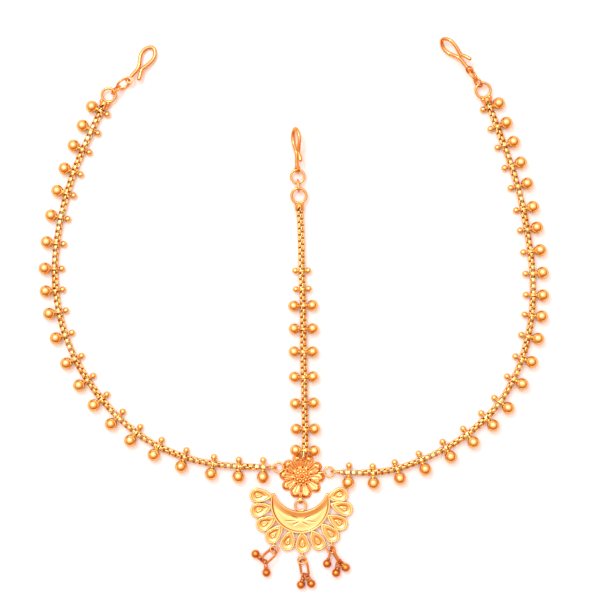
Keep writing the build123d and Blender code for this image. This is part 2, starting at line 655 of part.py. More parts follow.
# crescent pendant with its teardrops and loops
with BuildPart() as crescent_pendant:
    with BuildSketch():
        with Locations(OUTER_CENTRE):
            Circle(OUTER_RADIUS)
        with Locations(INNER_CENTRE):
            Circle(INNER_RADIUS, mode=Mode.SUBTRACT)
        with Locations((0, TIP_LEVEL + OUTER_RADIUS)):
            Rectangle(3 * OUTER_RADIUS, 2 * OUTER_RADIUS, mode=Mode.SUBTRACT)
        for middle, radius in CRESCENT_TIPS:
            with Locations((middle, TIP_LEVEL)):
                Circle(radius)
    extrude(amount=CRESCENT_HEIGHT)
    for round_end, point in TEARDROPS:
        soldered = onward(point, OUTER_CENTRE, SOLDER_OVERLAP)
        reach = hypot(soldered[0] - round_end[0], soldered[1] - round_end[1])
        turn = heading_of(round_end, soldered)
        with BuildSketch(leaning(*round_end, 0, turn)):
            add(teardrop(TEARDROP_RADIUS, reach, 0))
        extrude(amount=DROP_HEIGHT)
        with BuildSketch(leaning(*round_end, DROP_HEIGHT, turn)):
            add(teardrop(TEARDROP_RADIUS, reach, CHANNEL_EDGES[0]))
            add(teardrop(TEARDROP_RADIUS, reach, CHANNEL_EDGES[1]), mode=Mode.SUBTRACT)
        extrude(amount=-CHANNEL_DEPTH, mode=Mode.SUBTRACT)
        with BuildSketch(leaning(*round_end, DROP_HEIGHT, turn)):
            add(teardrop(TEARDROP_RADIUS, reach, HOLLOW_EDGE))
        extrude(amount=-HOLLOW_DEPTH, mode=Mode.SUBTRACT)
    with BuildSketch(Plane.XY.offset(CRESCENT_FLOOR)):
        with Locations(OUTER_CENTRE):
            Circle(OUTER_RADIUS - RIM)
        with Locations(INNER_CENTRE):
            Circle(INNER_RADIUS + RIM, mode=Mode.SUBTRACT)
    extrude(amount=CRESCENT_HEIGHT, taper=-WALL_SLOPE, mode=Mode.SUBTRACT)
    with Locations((*PENDANT_RING, LOOP_HEIGHT)):
        Torus(PENDANT_RING_RADIUS, PENDANT_RING_WIRE / 2)
    for loop, drop in [(LEFT_BELL_LOOP, 3), (CENTRE_BELL_LOOP, 5), (RIGHT_BELL_LOOP, 7)]:
        round_end = TEARDROPS[drop][0]
        with Locations((*loop, BELL_LOOP_HEIGHT)):
            Torus(BELL_LOOP_RADIUS, BELL_LOOP_WIRE / 2)
        turn = heading_of(round_end, loop)
        away = hypot(loop[0] - round_end[0], loop[1] - round_end[1])
        distance = away - BELL_LOOP_RADIUS - BELL_STEM_SETBACK
        stem = leaning(*round_end, BELL_STEM_HEIGHT, turn).location * Location((distance, 0, 0), (0, 90, 0))
        with Locations(stem):
            Cylinder(BELL_STEM_RADIUS, BELL_STEM_LENGTH)

# bell rings: start and end wire centres, width between wire centres, lean; then the bells on them
LEFT_BELL_RING = ((-8.05, -21.98), (-11.89, -25.5), 3.3, 48)
CENTRE_BELL_RING = ((0.21, -24.81), (1.1, -30.1), 3.3, 47)
RIGHT_BELL_RING = ((8.78, -21.31), (11.32, -25.9), 2.585, 80)

with BuildPart() as left_bell_ring:
    add(bell_ring(*LEFT_BELL_RING))

with BuildPart() as left_bell_1:
    add(hung_bell((-13.9, -23.2), LEFT_BELL_RING, -0.95))

with BuildPart() as left_bell_2:
    add(hung_bell((-10.65, -28.8), LEFT_BELL_RING, 1.3))

with BuildPart() as centre_bell_ring:
    add(bell_ring(*CENTRE_BELL_RING))

with BuildPart() as centre_bell_1:
    add(hung_bell((-0.3, -32.4), CENTRE_BELL_RING, -0.91))

with BuildPart() as centre_bell_2:
    add(hung_bell((2.8, -32.1), CENTRE_BELL_RING, 0.65))

with BuildPart() as right_bell_ring:
    add(bell_ring(*RIGHT_BELL_RING))

with BuildPart() as right_bell_1:
    upright_ball = (7.5, -26.1)
    on_loop = (*onward(RIGHT_BELL_LOOP, upright_ball, BELL_LOOP_RADIUS), BELL_LOOP_HEIGHT)
    add(bell(upright_ball, on_loop, LOOP_EYE_WIDTH, LOOP_EYE_REACH, 90))

with BuildPart() as right_bell_2:
    add(hung_bell((10.2, -28.9), RIGHT_BELL_RING, -0.77))

with BuildPart() as right_bell_3:
    add(hung_bell((13.1, -27.3), RIGHT_BELL_RING, 0.35))

nodes = {
    "rosette": rosette.part,
    "crescent_pendant": crescent_pendant.part,
    "left_chain": left_chain.part,
    "right_chain": right_chain.part,
    "centre_chain": centre_chain.part,
    "left_bead_drops": left_bead_drops.part,
    "right_bead_drops": right_bead_drops.part,
    "centre_bead_drops": centre_bead_drops.part,
    "left_jump_ring": left_jump_ring.part,
    "right_jump_ring": right_jump_ring.part,
    "left_end_ring": left_end_ring.part,
    "right_end_ring": right_end_ring.part,
    "centre_end_ring": centre_end_ring.part,
    **hook_parts,
    "left_bell_ring": left_bell_ring.part,
    "left_bell_1": left_bell_1.part,
    "left_bell_2": left_bell_2.part,
    "centre_bell_ring": centre_bell_ring.part,
    "centre_bell_1": centre_bell_1.part,
    "centre_bell_2": centre_bell_2.part,
    "right_bell_ring": right_bell_ring.part,
    "right_bell_1": right_bell_1.part,
    "right_bell_2": right_bell_2.part,
    "right_bell_3": right_bell_3.part,
}
for name, part in nodes.items():
    part.label = name
    export_step(part, f"parts/{name}.step")
    box = part.bounding_box()
    heights = f"z {box.min.Z:6.3f} to {box.max.Z:6.3f}"
    print(f"{name:20} solids {len(part.solids()):3} {heights} volume {part.volume:8.2f}")
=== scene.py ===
"""Maang tikka in polished gold plate: rosette, crescent pendant and three beaded strands of box chain.

Metres, in the CAD frame: the jewel lies face up on z = 0, +Y runs from the pendant to the hair hooks and
the origin is under the middle of the rosette. Sizes in the classes are millimetres, scaled once, in `build`.
"""

import json
import logging
from dataclasses import dataclass
from enum import Enum
from typing import NamedTuple

import bmesh
import bpy
import numpy as np
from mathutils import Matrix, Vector

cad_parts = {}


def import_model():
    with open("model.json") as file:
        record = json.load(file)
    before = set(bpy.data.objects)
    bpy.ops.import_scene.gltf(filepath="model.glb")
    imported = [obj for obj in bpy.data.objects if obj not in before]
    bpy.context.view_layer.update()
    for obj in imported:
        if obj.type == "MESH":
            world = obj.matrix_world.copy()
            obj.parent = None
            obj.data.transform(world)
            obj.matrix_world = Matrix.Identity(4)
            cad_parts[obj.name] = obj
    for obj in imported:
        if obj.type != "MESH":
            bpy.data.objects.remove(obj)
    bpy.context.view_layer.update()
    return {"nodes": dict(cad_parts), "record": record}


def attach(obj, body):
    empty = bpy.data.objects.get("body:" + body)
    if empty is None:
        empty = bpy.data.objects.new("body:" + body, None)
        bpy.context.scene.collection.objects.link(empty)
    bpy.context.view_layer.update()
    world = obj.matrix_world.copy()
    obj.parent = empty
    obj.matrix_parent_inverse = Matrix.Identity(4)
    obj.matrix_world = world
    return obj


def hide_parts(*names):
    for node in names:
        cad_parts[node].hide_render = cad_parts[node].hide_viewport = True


logging.basicConfig(level=logging.INFO, format="%(levelname)s %(message)s")
log = logging.getLogger("maang_tikka")

MM = 0.001
Array = np.ndarray
Pair = tuple[float, float]
Point = tuple[float, float, float]
LEVEL = (0.0, 0.0, 1.0)  # axis of a ring that lies flat
WELD_MM = 1e-5  # points nearer than this are one
RANGE = ("From Min", "From Max", "To Min", "To Max")  # settings of a Map Range node
MIX_SHARE, MIX_FIRST, MIX_SECOND, MIX_RESULT = 0, 6, 7, 2  # a colour Mix node's sockets, which share names


# --- small tools


def linear(hex_colour: str) -> tuple[float, float, float, float]:
    """Turn an sRGB hex colour into linear RGBA.

    Args:
        hex_colour: six hex digits, with or without a leading hash.

    Returns:
        Linear red, green, blue and an alpha of 1.
    """
    digits = hex_colour.lstrip("#")
    srgb = np.array([int(digits[i : i + 2], 16) / 255 for i in (0, 2, 4)])
    values = np.where(srgb <= 0.04045, srgb / 12.92, ((srgb + 0.055) / 1.055) ** 2.4)
    return (*(float(v) for v in values), 1.0)


def add_node(
    tree: bpy.types.NodeTree, kind: str, settings: dict | None = None, links: dict | None = None
) -> bpy.types.Node:
    """Add one node to a tree.

    Args:
        tree: the node tree.
        kind: the node's type name.
        settings: attributes, or inputs by name or number, to values.
        links: inputs by name or number to the output sockets that feed them.

    Returns:
        The new node.
    """
    made = tree.nodes.new(kind)
    for name, value in (settings or {}).items():
        if hasattr(made, str(name)):
            setattr(made, name, value)
        else:
            made.inputs[name].default_value = value
    for name, socket in (links or {}).items():
        tree.links.new(socket, made.inputs[name])
    return made


def smoothstep(low: float, high: float, x: Array) -> Array:
    """Smooth rise from 0 at `low` to 1 at `high`."""
    t = np.clip((x - low) / (high - low), 0.0, 1.0)
    return t * t * (3 - 2 * t)


def bump(x: Array, middle: float, width: float) -> Array:
    """Gaussian bump of height 1 and the given half width."""
    return np.exp(-(((x - middle) / width) ** 2))


def unit(v: Array) -> Array:
    """Vectors scaled to length 1 along the last axis."""
    return v / np.maximum(np.linalg.norm(v, axis=-1, keepdims=True), 1e-12)


def grid_faces(rows: int, columns: int, wrap_rows: bool, wrap_columns: bool) -> Array:
    """Quads of a rows x columns grid of points, numbered row by row.

    Args:
        rows: number of rows of points.
        columns: points in each row.
        wrap_rows: join the last row to the first.
        wrap_columns: join the last column to the first.

    Returns:
        An array of quads, n x 4.
    """
    r = np.arange(rows if wrap_rows else rows - 1)[:, None]
    c = np.arange(columns if wrap_columns else columns - 1)[None, :]
    r1 = (r + 1) % rows
    c1 = (c + 1) % columns
    quads = np.stack([r * columns + c, r * columns + c1, r1 * columns + c1, r1 * columns + c], axis=-1)
    return quads.reshape(-1, 4)


@dataclass
class Shape:
    """Points in millimetres with their quads and, for the finish, the light and shade painted on each point.

    The relief is painted shading: 0 paints the deep orange of shade, as in hollows and gaps, and 1 the pale
    gold of what stands proud in the light, or of a painted highlight.
    """

    points: Array
    quads: Array
    relief: Array

    @staticmethod
    def joined(shapes: list["Shape"]) -> "Shape":
        """Put several shapes into one.

        Args:
            shapes: the shapes, in order.

        Returns:
            One shape.
        """
        starts = np.cumsum([0] + [len(s.points) for s in shapes[:-1]])
        return Shape(
            np.concatenate([s.points for s in shapes]),
            np.concatenate([s.quads + start for s, start in zip(shapes, starts)]),
            np.concatenate([s.relief for s in shapes]),
        )

    def placed(self, origin: Array, x_axis: Array, y_axis: Array, z_axis: Array) -> "Shape":
        """Copy this shape into one or more places.

        Args:
            origin: where its own origin goes, one row for each copy.
            x_axis: where its x axis points, one row for each copy, as for the other axes.
            y_axis: where its y axis points.
            z_axis: where its z axis points.

        Returns:
            The copies as one shape.
        """
        origin, x_axis, y_axis, z_axis = (np.atleast_2d(a) for a in (origin, x_axis, y_axis, z_axis))
        p = self.points
        moved = (
            origin[:, None]
            + p[None, :, 0:1] * x_axis[:, None]
            + p[None, :, 1:2] * y_axis[:, None]
            + p[None, :, 2:3] * z_axis[:, None]
        )
        copies = len(origin)
        offsets = (np.arange(copies) * len(p))[:, None, None]
        quads = (self.quads[None] + offsets).reshape(-1, 4)
        return Shape(moved.reshape(-1, 3), quads, np.tile(self.relief, copies))


def build(
    name: str, shape: Shape, material: bpy.types.Material, replaced: list[str]
) -> bpy.types.Object:
    """Make a Blender object from a shape, smooth shaded, riding on the root body.

    Points that fall on one place, as at poles and seams, are welded, so that each skin is closed.

    Args:
        name: the object's name.
        shape: points in millimetres in the CAD frame.
        material: its finish.
        replaced: the CAD nodes it stands for.

    Returns:
        The object.
    """
    mesh = bpy.data.meshes.new(name)
    quads = shape.quads.astype(np.int32)
    mesh.vertices.add(len(shape.points))
    mesh.vertices.foreach_set("co", (shape.points * MM).astype(np.float32).ravel())
    mesh.loops.add(quads.size)
    mesh.loops.foreach_set("vertex_index", quads.ravel())
    mesh.polygons.add(len(quads))
    mesh.polygons.foreach_set("loop_start", np.arange(0, quads.size, 4, dtype=np.int32))
    mesh.polygons.foreach_set("loop_total", np.full(len(quads), 4, dtype=np.int32))
    mesh.update(calc_edges=True)
    # the relief attribute carries the painted light and shade that the finish reads
    attribute = mesh.attributes.new("relief", "FLOAT", "POINT")
    attribute.data.foreach_set("value", shape.relief.astype(np.float32))
    skin = bmesh.new()
    skin.from_mesh(mesh)
    bmesh.ops.remove_doubles(skin, verts=skin.verts, dist=WELD_MM * MM)
    skin.to_mesh(mesh)
    skin.free()
    mesh.polygons.foreach_set("use_smooth", np.ones(len(mesh.polygons), dtype=bool))
    mesh.materials.append(material)
    made = bpy.data.objects.new(name, mesh)
    bpy.context.scene.collection.objects.link(made)
    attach(made, "root")
    if replaced:
        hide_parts(*replaced)
    log.info("%s: %d points, %d quads", name, len(shape.points), len(quads))
    return made


@dataclass(frozen=True)
class Loop:
    """Ring of round wire: a circle of diameter `wire` carried round a circle of the given radius."""

    centre: Point
    normal: Point  # the ring's axis
    radius: float  # from the middle to the wire's centre
    wire: float  # diameter of the wire

    STEPS = 64  # points round the ring
    WIRE_STEPS = 20  # points round the wire
    ASIDE = (0.3, 1.0, 0.1)  # a direction that no ring's axis has
    TONE = 0.8

    def shape(self) -> Shape:
        """Carry the wire's circle round the ring.

        Returns:
            The ring as a shape.
        """
        z_axis = unit(np.array(self.normal, float))
        x_axis = unit(np.cross(self.ASIDE, z_axis))
        y_axis = np.cross(z_axis, x_axis)
        u = np.linspace(0, 2 * np.pi, self.STEPS, endpoint=False)[:, None]
        v = np.linspace(0, 2 * np.pi, self.WIRE_STEPS, endpoint=False)[None, :]
        out = self.radius + self.wire / 2 * np.cos(v)
        local = np.broadcast_arrays(out * np.cos(u), out * np.sin(u), self.wire / 2 * np.sin(v))
        turned = np.stack(local, axis=-1).reshape(-1, 3) @ np.stack([x_axis, y_axis, z_axis])
        faces = grid_faces(self.STEPS, self.WIRE_STEPS, True, True)[:, ::-1]
        return Shape(np.array(self.centre) + turned, faces, np.full(len(turned), self.TONE))


@dataclass(frozen=True)
class Stem:
    """Short round bar with domed ends, as solder leaves it: a half circle profile turned about the line."""

    start: Point
    end: Point
    radius: float

    STEPS = 20  # points round the bar
    PROFILE_STEPS = 14  # points from one dome's top to the other's
    ASIDE = (0.2, 0.3, 1.0)  # a direction that no bar has
    TONE = 0.45

    def shape(self) -> Shape:
        """Turn the profile about the line.

        Returns:
            The bar as a shape.
        """
        a, b = np.array(self.start, float), np.array(self.end, float)
        axis = unit(b - a)
        side = unit(np.cross(axis, self.ASIDE))
        other = np.cross(axis, side)
        turn = np.linspace(-np.pi / 2, np.pi / 2, self.PROFILE_STEPS)
        along = np.where(turn < 0, 0.0, np.linalg.norm(b - a)) + self.radius * np.sin(turn)
        out = self.radius * np.cos(turn)
        u = np.linspace(0, 2 * np.pi, self.STEPS, endpoint=False)
        ring = np.cos(u)[:, None] * side + np.sin(u)[:, None] * other
        points = (a + along[:, None, None] * axis + out[:, None, None] * ring).reshape(-1, 3)
        faces = grid_faces(self.PROFILE_STEPS, self.STEPS, False, True)
        return Shape(points, faces, np.full(len(points), self.TONE))


# --- finishes


class Polish(Enum):
    """How a gold surface was left, as the roughness that it shows."""

    MIRROR = 0.13  # barrel polished or burnished: a small crisp highlight
    BRIGHT = 0.2  # bright dipped after casting or drawing: a broad soft highlight


@dataclass(frozen=True)
class GoldPlate:
    """Yellow gold electroplate over brass: a warm metal with light handling marks. Where the mesh carries
    painted light and shade, its hollows are painted redder as shade.
    """

    name: str
    light: str = "#FFD088"  # colour of what stands proud
    deep: str = "#DA7C34"  # painted shade: colour of hollows, where light goes from gold to gold
    edge: str = "#DE965C"  # tint of reflections at a glancing angle
    polish: Polish = Polish.BRIGHT
    grain_mm: float = 0.5  # spacing of the faint polishing marks
    dent: float = 0.05  # strength of those marks
    relief: bool = False  # whether the mesh carries painted light and shade, by where its hollows and proud parts are

    GRAIN_SPAN = (0.3, 0.7)  # the noise's usual range, and what it does to the roughness
    GRAIN_SPREAD = (0.8, 1.35)
    DENT_MM = 0.05
    WASH_MM = 6.0  # spacing of the slow drift in tone that uneven plating gives
    WASH_SPAN = (0.35, 0.65)
    WASH_TONES = (0.82, 1.0)

    def material(self) -> bpy.types.Material:
        """Build the node material: two tones by relief, which is painted light and shade, and by wash, and
        marks in roughness and bump.

        Returns:
            The material.
        """
        made = bpy.data.materials.new(self.name)
        made.use_nodes = True
        tree = made.node_tree
        tree.nodes.clear()
        place = add_node(tree, "ShaderNodeTexCoord")
        where = {"Vector": place.outputs["Object"]}
        fine = {"Scale": 1 / (self.grain_mm * MM), "Detail": 3.0, "Roughness": 0.6}
        marks = add_node(tree, "ShaderNodeTexNoise", fine, where)
        broad = {"Scale": 1 / (self.WASH_MM * MM), "Detail": 2.0}
        wash = add_node(tree, "ShaderNodeTexNoise", broad, where)
        drift = dict(zip(RANGE, self.WASH_SPAN + self.WASH_TONES))
        tone = add_node(tree, "ShaderNodeMapRange", drift, {"Value": wash.outputs["Fac"]})
        amount = tone.outputs["Result"]
        # the relief attribute paints light and shade into the colour: deep where shade is painted, light
        # where lit
        if self.relief:
            height = add_node(tree, "ShaderNodeAttribute", {"attribute_name": "relief"})
            factors = {0: height.outputs["Fac"], 1: amount}
            product = add_node(tree, "ShaderNodeMath", {"operation": "MULTIPLY"}, factors)
            amount = product.outputs["Value"]
        tones = {"data_type": "RGBA", MIX_FIRST: linear(self.deep), MIX_SECOND: linear(self.light)}
        colour = add_node(tree, "ShaderNodeMix", tones, {MIX_SHARE: amount})
        polish = tuple(self.polish.value * share for share in self.GRAIN_SPREAD)
        spread = dict(zip(RANGE, self.GRAIN_SPAN + polish))
        rough = add_node(tree, "ShaderNodeMapRange", spread, {"Value": marks.outputs["Fac"]})
        depth = {"Strength": self.dent, "Distance": self.DENT_MM * MM}
        dents = add_node(tree, "ShaderNodeBump", depth, {"Height": marks.outputs["Fac"]})
        metal = {"Metallic": 1.0, "Specular Tint": linear(self.edge)}
        maps = {
            "Base Color": colour.outputs[MIX_RESULT],
            "Roughness": rough.outputs["Result"],
            "Normal": dents.outputs["Normal"],
        }
        shader = add_node(tree, "ShaderNodeBsdfPrincipled", metal, maps)
        add_node(tree, "ShaderNodeOutputMaterial", None, {"Surface": shader.outputs["BSDF"]})
        return made


# cast brass, tumbled and plated: soft bright lobes on the petals and redder clefts between them; painted
# highlights on the ridges and granules, painted shade in the hollows, on the hub and at the back
CAST_GOLD = GoldPlate("gold_plated_brass_casting", relief=True)
# sheet brass struck in a die and plated: pale floors that mirror the tent, an orange line of painted shade
# inside each rim and in the teardrops' grooves
RELIEF_GOLD = GoldPlate("gold_plated_brass_relief", relief=True)
# links bent from brass strip and plated as a chain: small pale plates, their light colour painted paler to
# stand in for their highlights, and red painted shade on the inner faces in the gaps between them
CHAIN_GOLD = GoldPlate("gold_plated_box_chain", relief=True, light="#FFEDA2", deep="#D8641C")
# hollow balls, barrel polished and plated: one crisp highlight on a smooth round
BALL_GOLD = GoldPlate("gold_plated_hollow_ball", polish=Polish.MIRROR, dent=0.02)
# drawn brass wire, bent into rings and plated: a bright line along the wire with orange flanks
WIRE_GOLD = GoldPlate("gold_plated_drawn_wire", light="#F6B66C", deep="#CE7030")
# drawn wire that hair and fingers burnish: a thinner bright line on deeper orange
HOOK_GOLD = GoldPlate("gold_plated_hook_wire", polish=Polish.MIRROR, light="#F2B06A", deep="#CE7636")
# small pressed bells that hang in each other's shade: their colour painted darker and redder than the rest as
# that shade
BELL_GOLD = GoldPlate("gold_plated_small_bell", light="#E0904A", deep="#A84C18")


# --- strands


@dataclass
class Route:
    """Smooth line of a strand: a quadratic spline that has the route's points as its control points."""

    points: list[Point]

    ORDER = 3
    STEPS = 24  # points between two control points

    def line(self) -> Array:
        """Walk along the spline.

        Returns:
            Closely spaced points in millimetres.
        """
        curve = bpy.data.curves.new("route", "CURVE")
        curve.dimensions = "3D"
        curve.resolution_u = self.STEPS
        spline = curve.splines.new("NURBS")
        spline.points.add(len(self.points) - 1)
        rows = np.array([(x, y, z, 1.0) for x, y, z in self.points], dtype=np.float32)
        spline.points.foreach_set("co", rows.ravel())
        spline.order_u = self.ORDER
        spline.use_endpoint_u = True
        holder = bpy.data.objects.new("route", curve)
        mesh = bpy.data.meshes.new_from_object(holder)
        count = len(mesh.vertices)
        out = np.empty(count * 3, dtype=np.float32)
        mesh.vertices.foreach_get("co", out)
        bpy.data.meshes.remove(mesh)
        bpy.data.objects.remove(holder)
        bpy.data.curves.remove(curve)
        return out.reshape(-1, 3).astype(float)


@dataclass
class BoxChain:
    """Box chain: bent bands of metal, each turned a quarter from the last, along a route."""

    name: str
    node: str
    route: Route
    first: float  # from the route's start to the middle of the first link
    last: float  # from the route's end to the middle of the last link
    links: int
    end_twist: float = 0.0  # degrees that the last links turn, so that the last one meets its ring
    lay: float = 0.0  # degrees that the strand leans over from standing on its corner
    wander: float = 0.0  # degrees that the lay swings either way
    length: float = 1.56
    height: float = 1.72
    band: float = 1.2
    wall: float = 0.21
    end_length: float = 2.2
    end_band: float = 0.8
    end_spacing: float = 1.17  # from an end link's middle to its neighbour's

    CORNER = 0.32  # radius of a link's bends
    BEND_STEPS = (0.0, 45.0, 90.0)  # degrees round a bend where the section is set
    # the section in shares of wall and band, a crowned face outside and a flat one inside, and its relief:
    # painted shade on the inner face, full light on the crown
    SECTION = ((0.1, -0.5), (0.48, -0.27), (0.48, 0.27), (0.1, 0.5), (-0.5, 0.44), (-0.5, -0.44))
    SECTION_TONES = (0.8, 1.0, 1.0, 0.8, 0.0, 0.0)
    ON_CORNER = 45.0  # degrees from a link that lies flat to one that stands on its corner
    AHEAD = 0.4  # how far to either side the route's direction is read
    TWIST_LINKS = 10  # links over which the end twist builds up
    FREE_AFTER = 5  # links from either end after which the lay is full
    SWINGS = (7.3, 3.1)  # links in a radian of the wander's slow and quick waves

    def link(self, length: float, band: float) -> Shape:
        """One link about the origin, its hollow along z.

        The band's middle line is a rounded rectangle; the section is carried round it.

        Args:
            length: along x, over the outside.
            band: width of the metal strip, along z.

        Returns:
            The link as a shape.
        """
        half_x = length / 2 - self.wall / 2
        half_y = self.height / 2 - self.wall / 2
        turn = np.radians(self.BEND_STEPS)
        quarter = np.stack([self.CORNER * np.cos(turn), self.CORNER * np.sin(turn)], axis=-1)
        middles, outward = [], []
        for quadrant in range(4):
            angle = quadrant * np.pi / 2
            spin = np.array([[np.cos(angle), np.sin(angle)], [-np.sin(angle), np.cos(angle)]])
            signs = np.array([1 if quadrant in (0, 3) else -1, 1 if quadrant in (0, 1) else -1])
            middles.append(signs * np.array([half_x - self.CORNER, half_y - self.CORNER]) + quarter @ spin)
            outward.append(unit(quarter) @ spin)
        line = np.concatenate(middles)
        out = np.concatenate(outward)
        section = np.array(self.SECTION) * np.array([self.wall, band])
        flat = line[:, None] + section[None, :, :1] * out[:, None]
        level = np.broadcast_to(section[None, :, 1:], (*flat.shape[:2], 1))
        points = np.concatenate([flat, level], axis=-1).reshape(-1, 3)
        # painted shade on each link's inner faces, light on its crowned outer face
        relief = np.tile(self.SECTION_TONES, len(line))
        return Shape(points, grid_faces(len(line), len(section), True, True)[:, ::-1], relief)

    def places(self, line: Array, along: Array) -> tuple[Array, Array]:
        """Middles of the links, evenly spaced between the two end links, and the way that each points.

        A link past an end of the route goes straight on from it.

        Args:
            line: points of the route.
            along: length of the route up to each of them.

        Returns:
            Middles and unit directions, one row for each link.
        """
        start, stop = self.first, along[-1] - self.last
        pitch = (stop - start - 2 * self.end_spacing) / (self.links - 3)
        log.info("%s: route %.2f mm, pitch %.4f mm", self.name, along[-1], pitch)
        middle = start + self.end_spacing + pitch * np.arange(self.links - 2)
        wanted = np.concatenate([[start], middle, [stop]])
        reached = np.clip(wanted, 0, along[-1])

        def on_route(distance: Array) -> Array:
            return np.stack([np.interp(distance, along, line[:, i]) for i in range(3)], axis=-1)

        way = unit(on_route(reached + self.AHEAD) - on_route(np.clip(reached - self.AHEAD, 0, None)))
        return on_route(reached) + (wanted - reached)[:, None] * way, way

    def roll(self) -> Array:
        """Turn each link about the route: by quarter turns, the end twist and the free lay.

        Returns:
            Radians, a row for each link.
        """
        index = np.arange(self.links)
        from_end = self.links - 1 - index
        twist = self.end_twist * np.clip((self.TWIST_LINKS - from_end) / self.TWIST_LINKS, 0, 1)
        free = smoothstep(0, self.FREE_AFTER, index) * smoothstep(0, self.FREE_AFTER, from_end)
        slow, quick = self.SWINGS
        sway = self.lay + self.wander * np.sin(index / slow) * np.cos(index / quick)
        return np.radians(self.ON_CORNER + 90 * index + twist + free * sway)[:, None]

    def build(self, material: bpy.types.Material) -> bpy.types.Object:
        """Lay the links along the route and join them into one piece.

        Args:
            material: the chain's finish.

        Returns:
            The object.
        """
        line = self.route.line()
        steps = np.linalg.norm(np.diff(line, axis=0), axis=1)
        centre, x_axis = self.places(line, np.concatenate([[0.0], np.cumsum(steps)]))
        side = unit(np.cross(LEVEL, x_axis))
        up = np.cross(x_axis, side)
        roll = self.roll()
        y_axis = np.cos(roll) * side + np.sin(roll) * up
        z_axis = -np.sin(roll) * side + np.cos(roll) * up
        kinds = ((self.length, self.band, slice(1, -1)), (self.end_length, self.end_band, [0, -1]))
        where = (centre, x_axis, y_axis, z_axis)
        shapes = [self.link(size, band).placed(*(a[rows] for a in where)) for size, band, rows in kinds]
        return build(self.name, Shape.joined(shapes), material, [self.node])


# middles of the chains above the table: beside the side drops, the granules and the ball pairs
SIDE_HEIGHT = 1.304
GRANULE_HEIGHT = 1.42
PAIR_HEIGHT = 1.65

# x and y of the side strands' control points, from the end ring to the jump ring
LEFT_POINTS = (
    (-59.56, 110.47), (-65.0, 99.5), (-70.0, 86.5), (-73.2, 73.0), (-74.3, 59.5), (-72.3, 46.0),
    (-67.4, 33.5), (-59.4, 22.0), (-49.6, 12.6), (-38.0, 6.4), (-24.5, 3.0), (-10.66, 2.73),
)
RIGHT_POINTS = (
    (55.7, 111.63), (60.4, 99.5), (64.8, 86.5), (67.6, 73.0), (69.3, 59.5), (68.8, 46.0),
    (65.4, 32.8), (58.8, 20.8), (48.5, 11.4), (36.5, 4.9), (23.5, 0.6), (11.71, 1.3),
)
# the centre strand climbs over the petals to the rosette's top loop
CENTRE_POINTS = (
    (-0.93, 83.97, GRANULE_HEIGHT), (-0.75, 80.0, GRANULE_HEIGHT), (-0.3, 74.0, GRANULE_HEIGHT),
    (-0.1, 62.0, GRANULE_HEIGHT), (0.1, 56.0, GRANULE_HEIGHT), (0.35, 50.5, PAIR_HEIGHT),
    (0.45, 36.0, PAIR_HEIGHT), (0.75, 22.0, PAIR_HEIGHT), (1.0, 14.0, PAIR_HEIGHT),
    (0.95, 9.8, 1.98), (0.8, 5.8, 2.6),
)


def chains() -> list[BoxChain]:
    """Set up the three strands, each from its hook end to the rosette.

    Returns:
        The left, right and centre chain.
    """
    left, right = (Route([(x, y, SIDE_HEIGHT) for x, y in points]) for points in (LEFT_POINTS, RIGHT_POINTS))
    centre = Route(list(CENTRE_POINTS))
    sides = {"first": -0.29, "last": -0.29, "end_twist": 45.0, "wander": 14.0}
    return [
        BoxChain("left_box_chain", "left_chain", left, links=158, lay=-26.0, **sides),
        BoxChain("right_box_chain", "right_chain", right, links=157, lay=26.0, **sides),
        BoxChain("centre_box_chain", "centre_chain", centre, 3.9, 0.935, links=78, lay=8.0, wander=8.0),
    ]


# --- rosette


class GranuleRing(NamedTuple):
    """One ring of granules on the hub."""

    radius: float  # of the ring
    size: float  # radius of a granule
    turn: float  # petals that the first granule is turned from the first petal


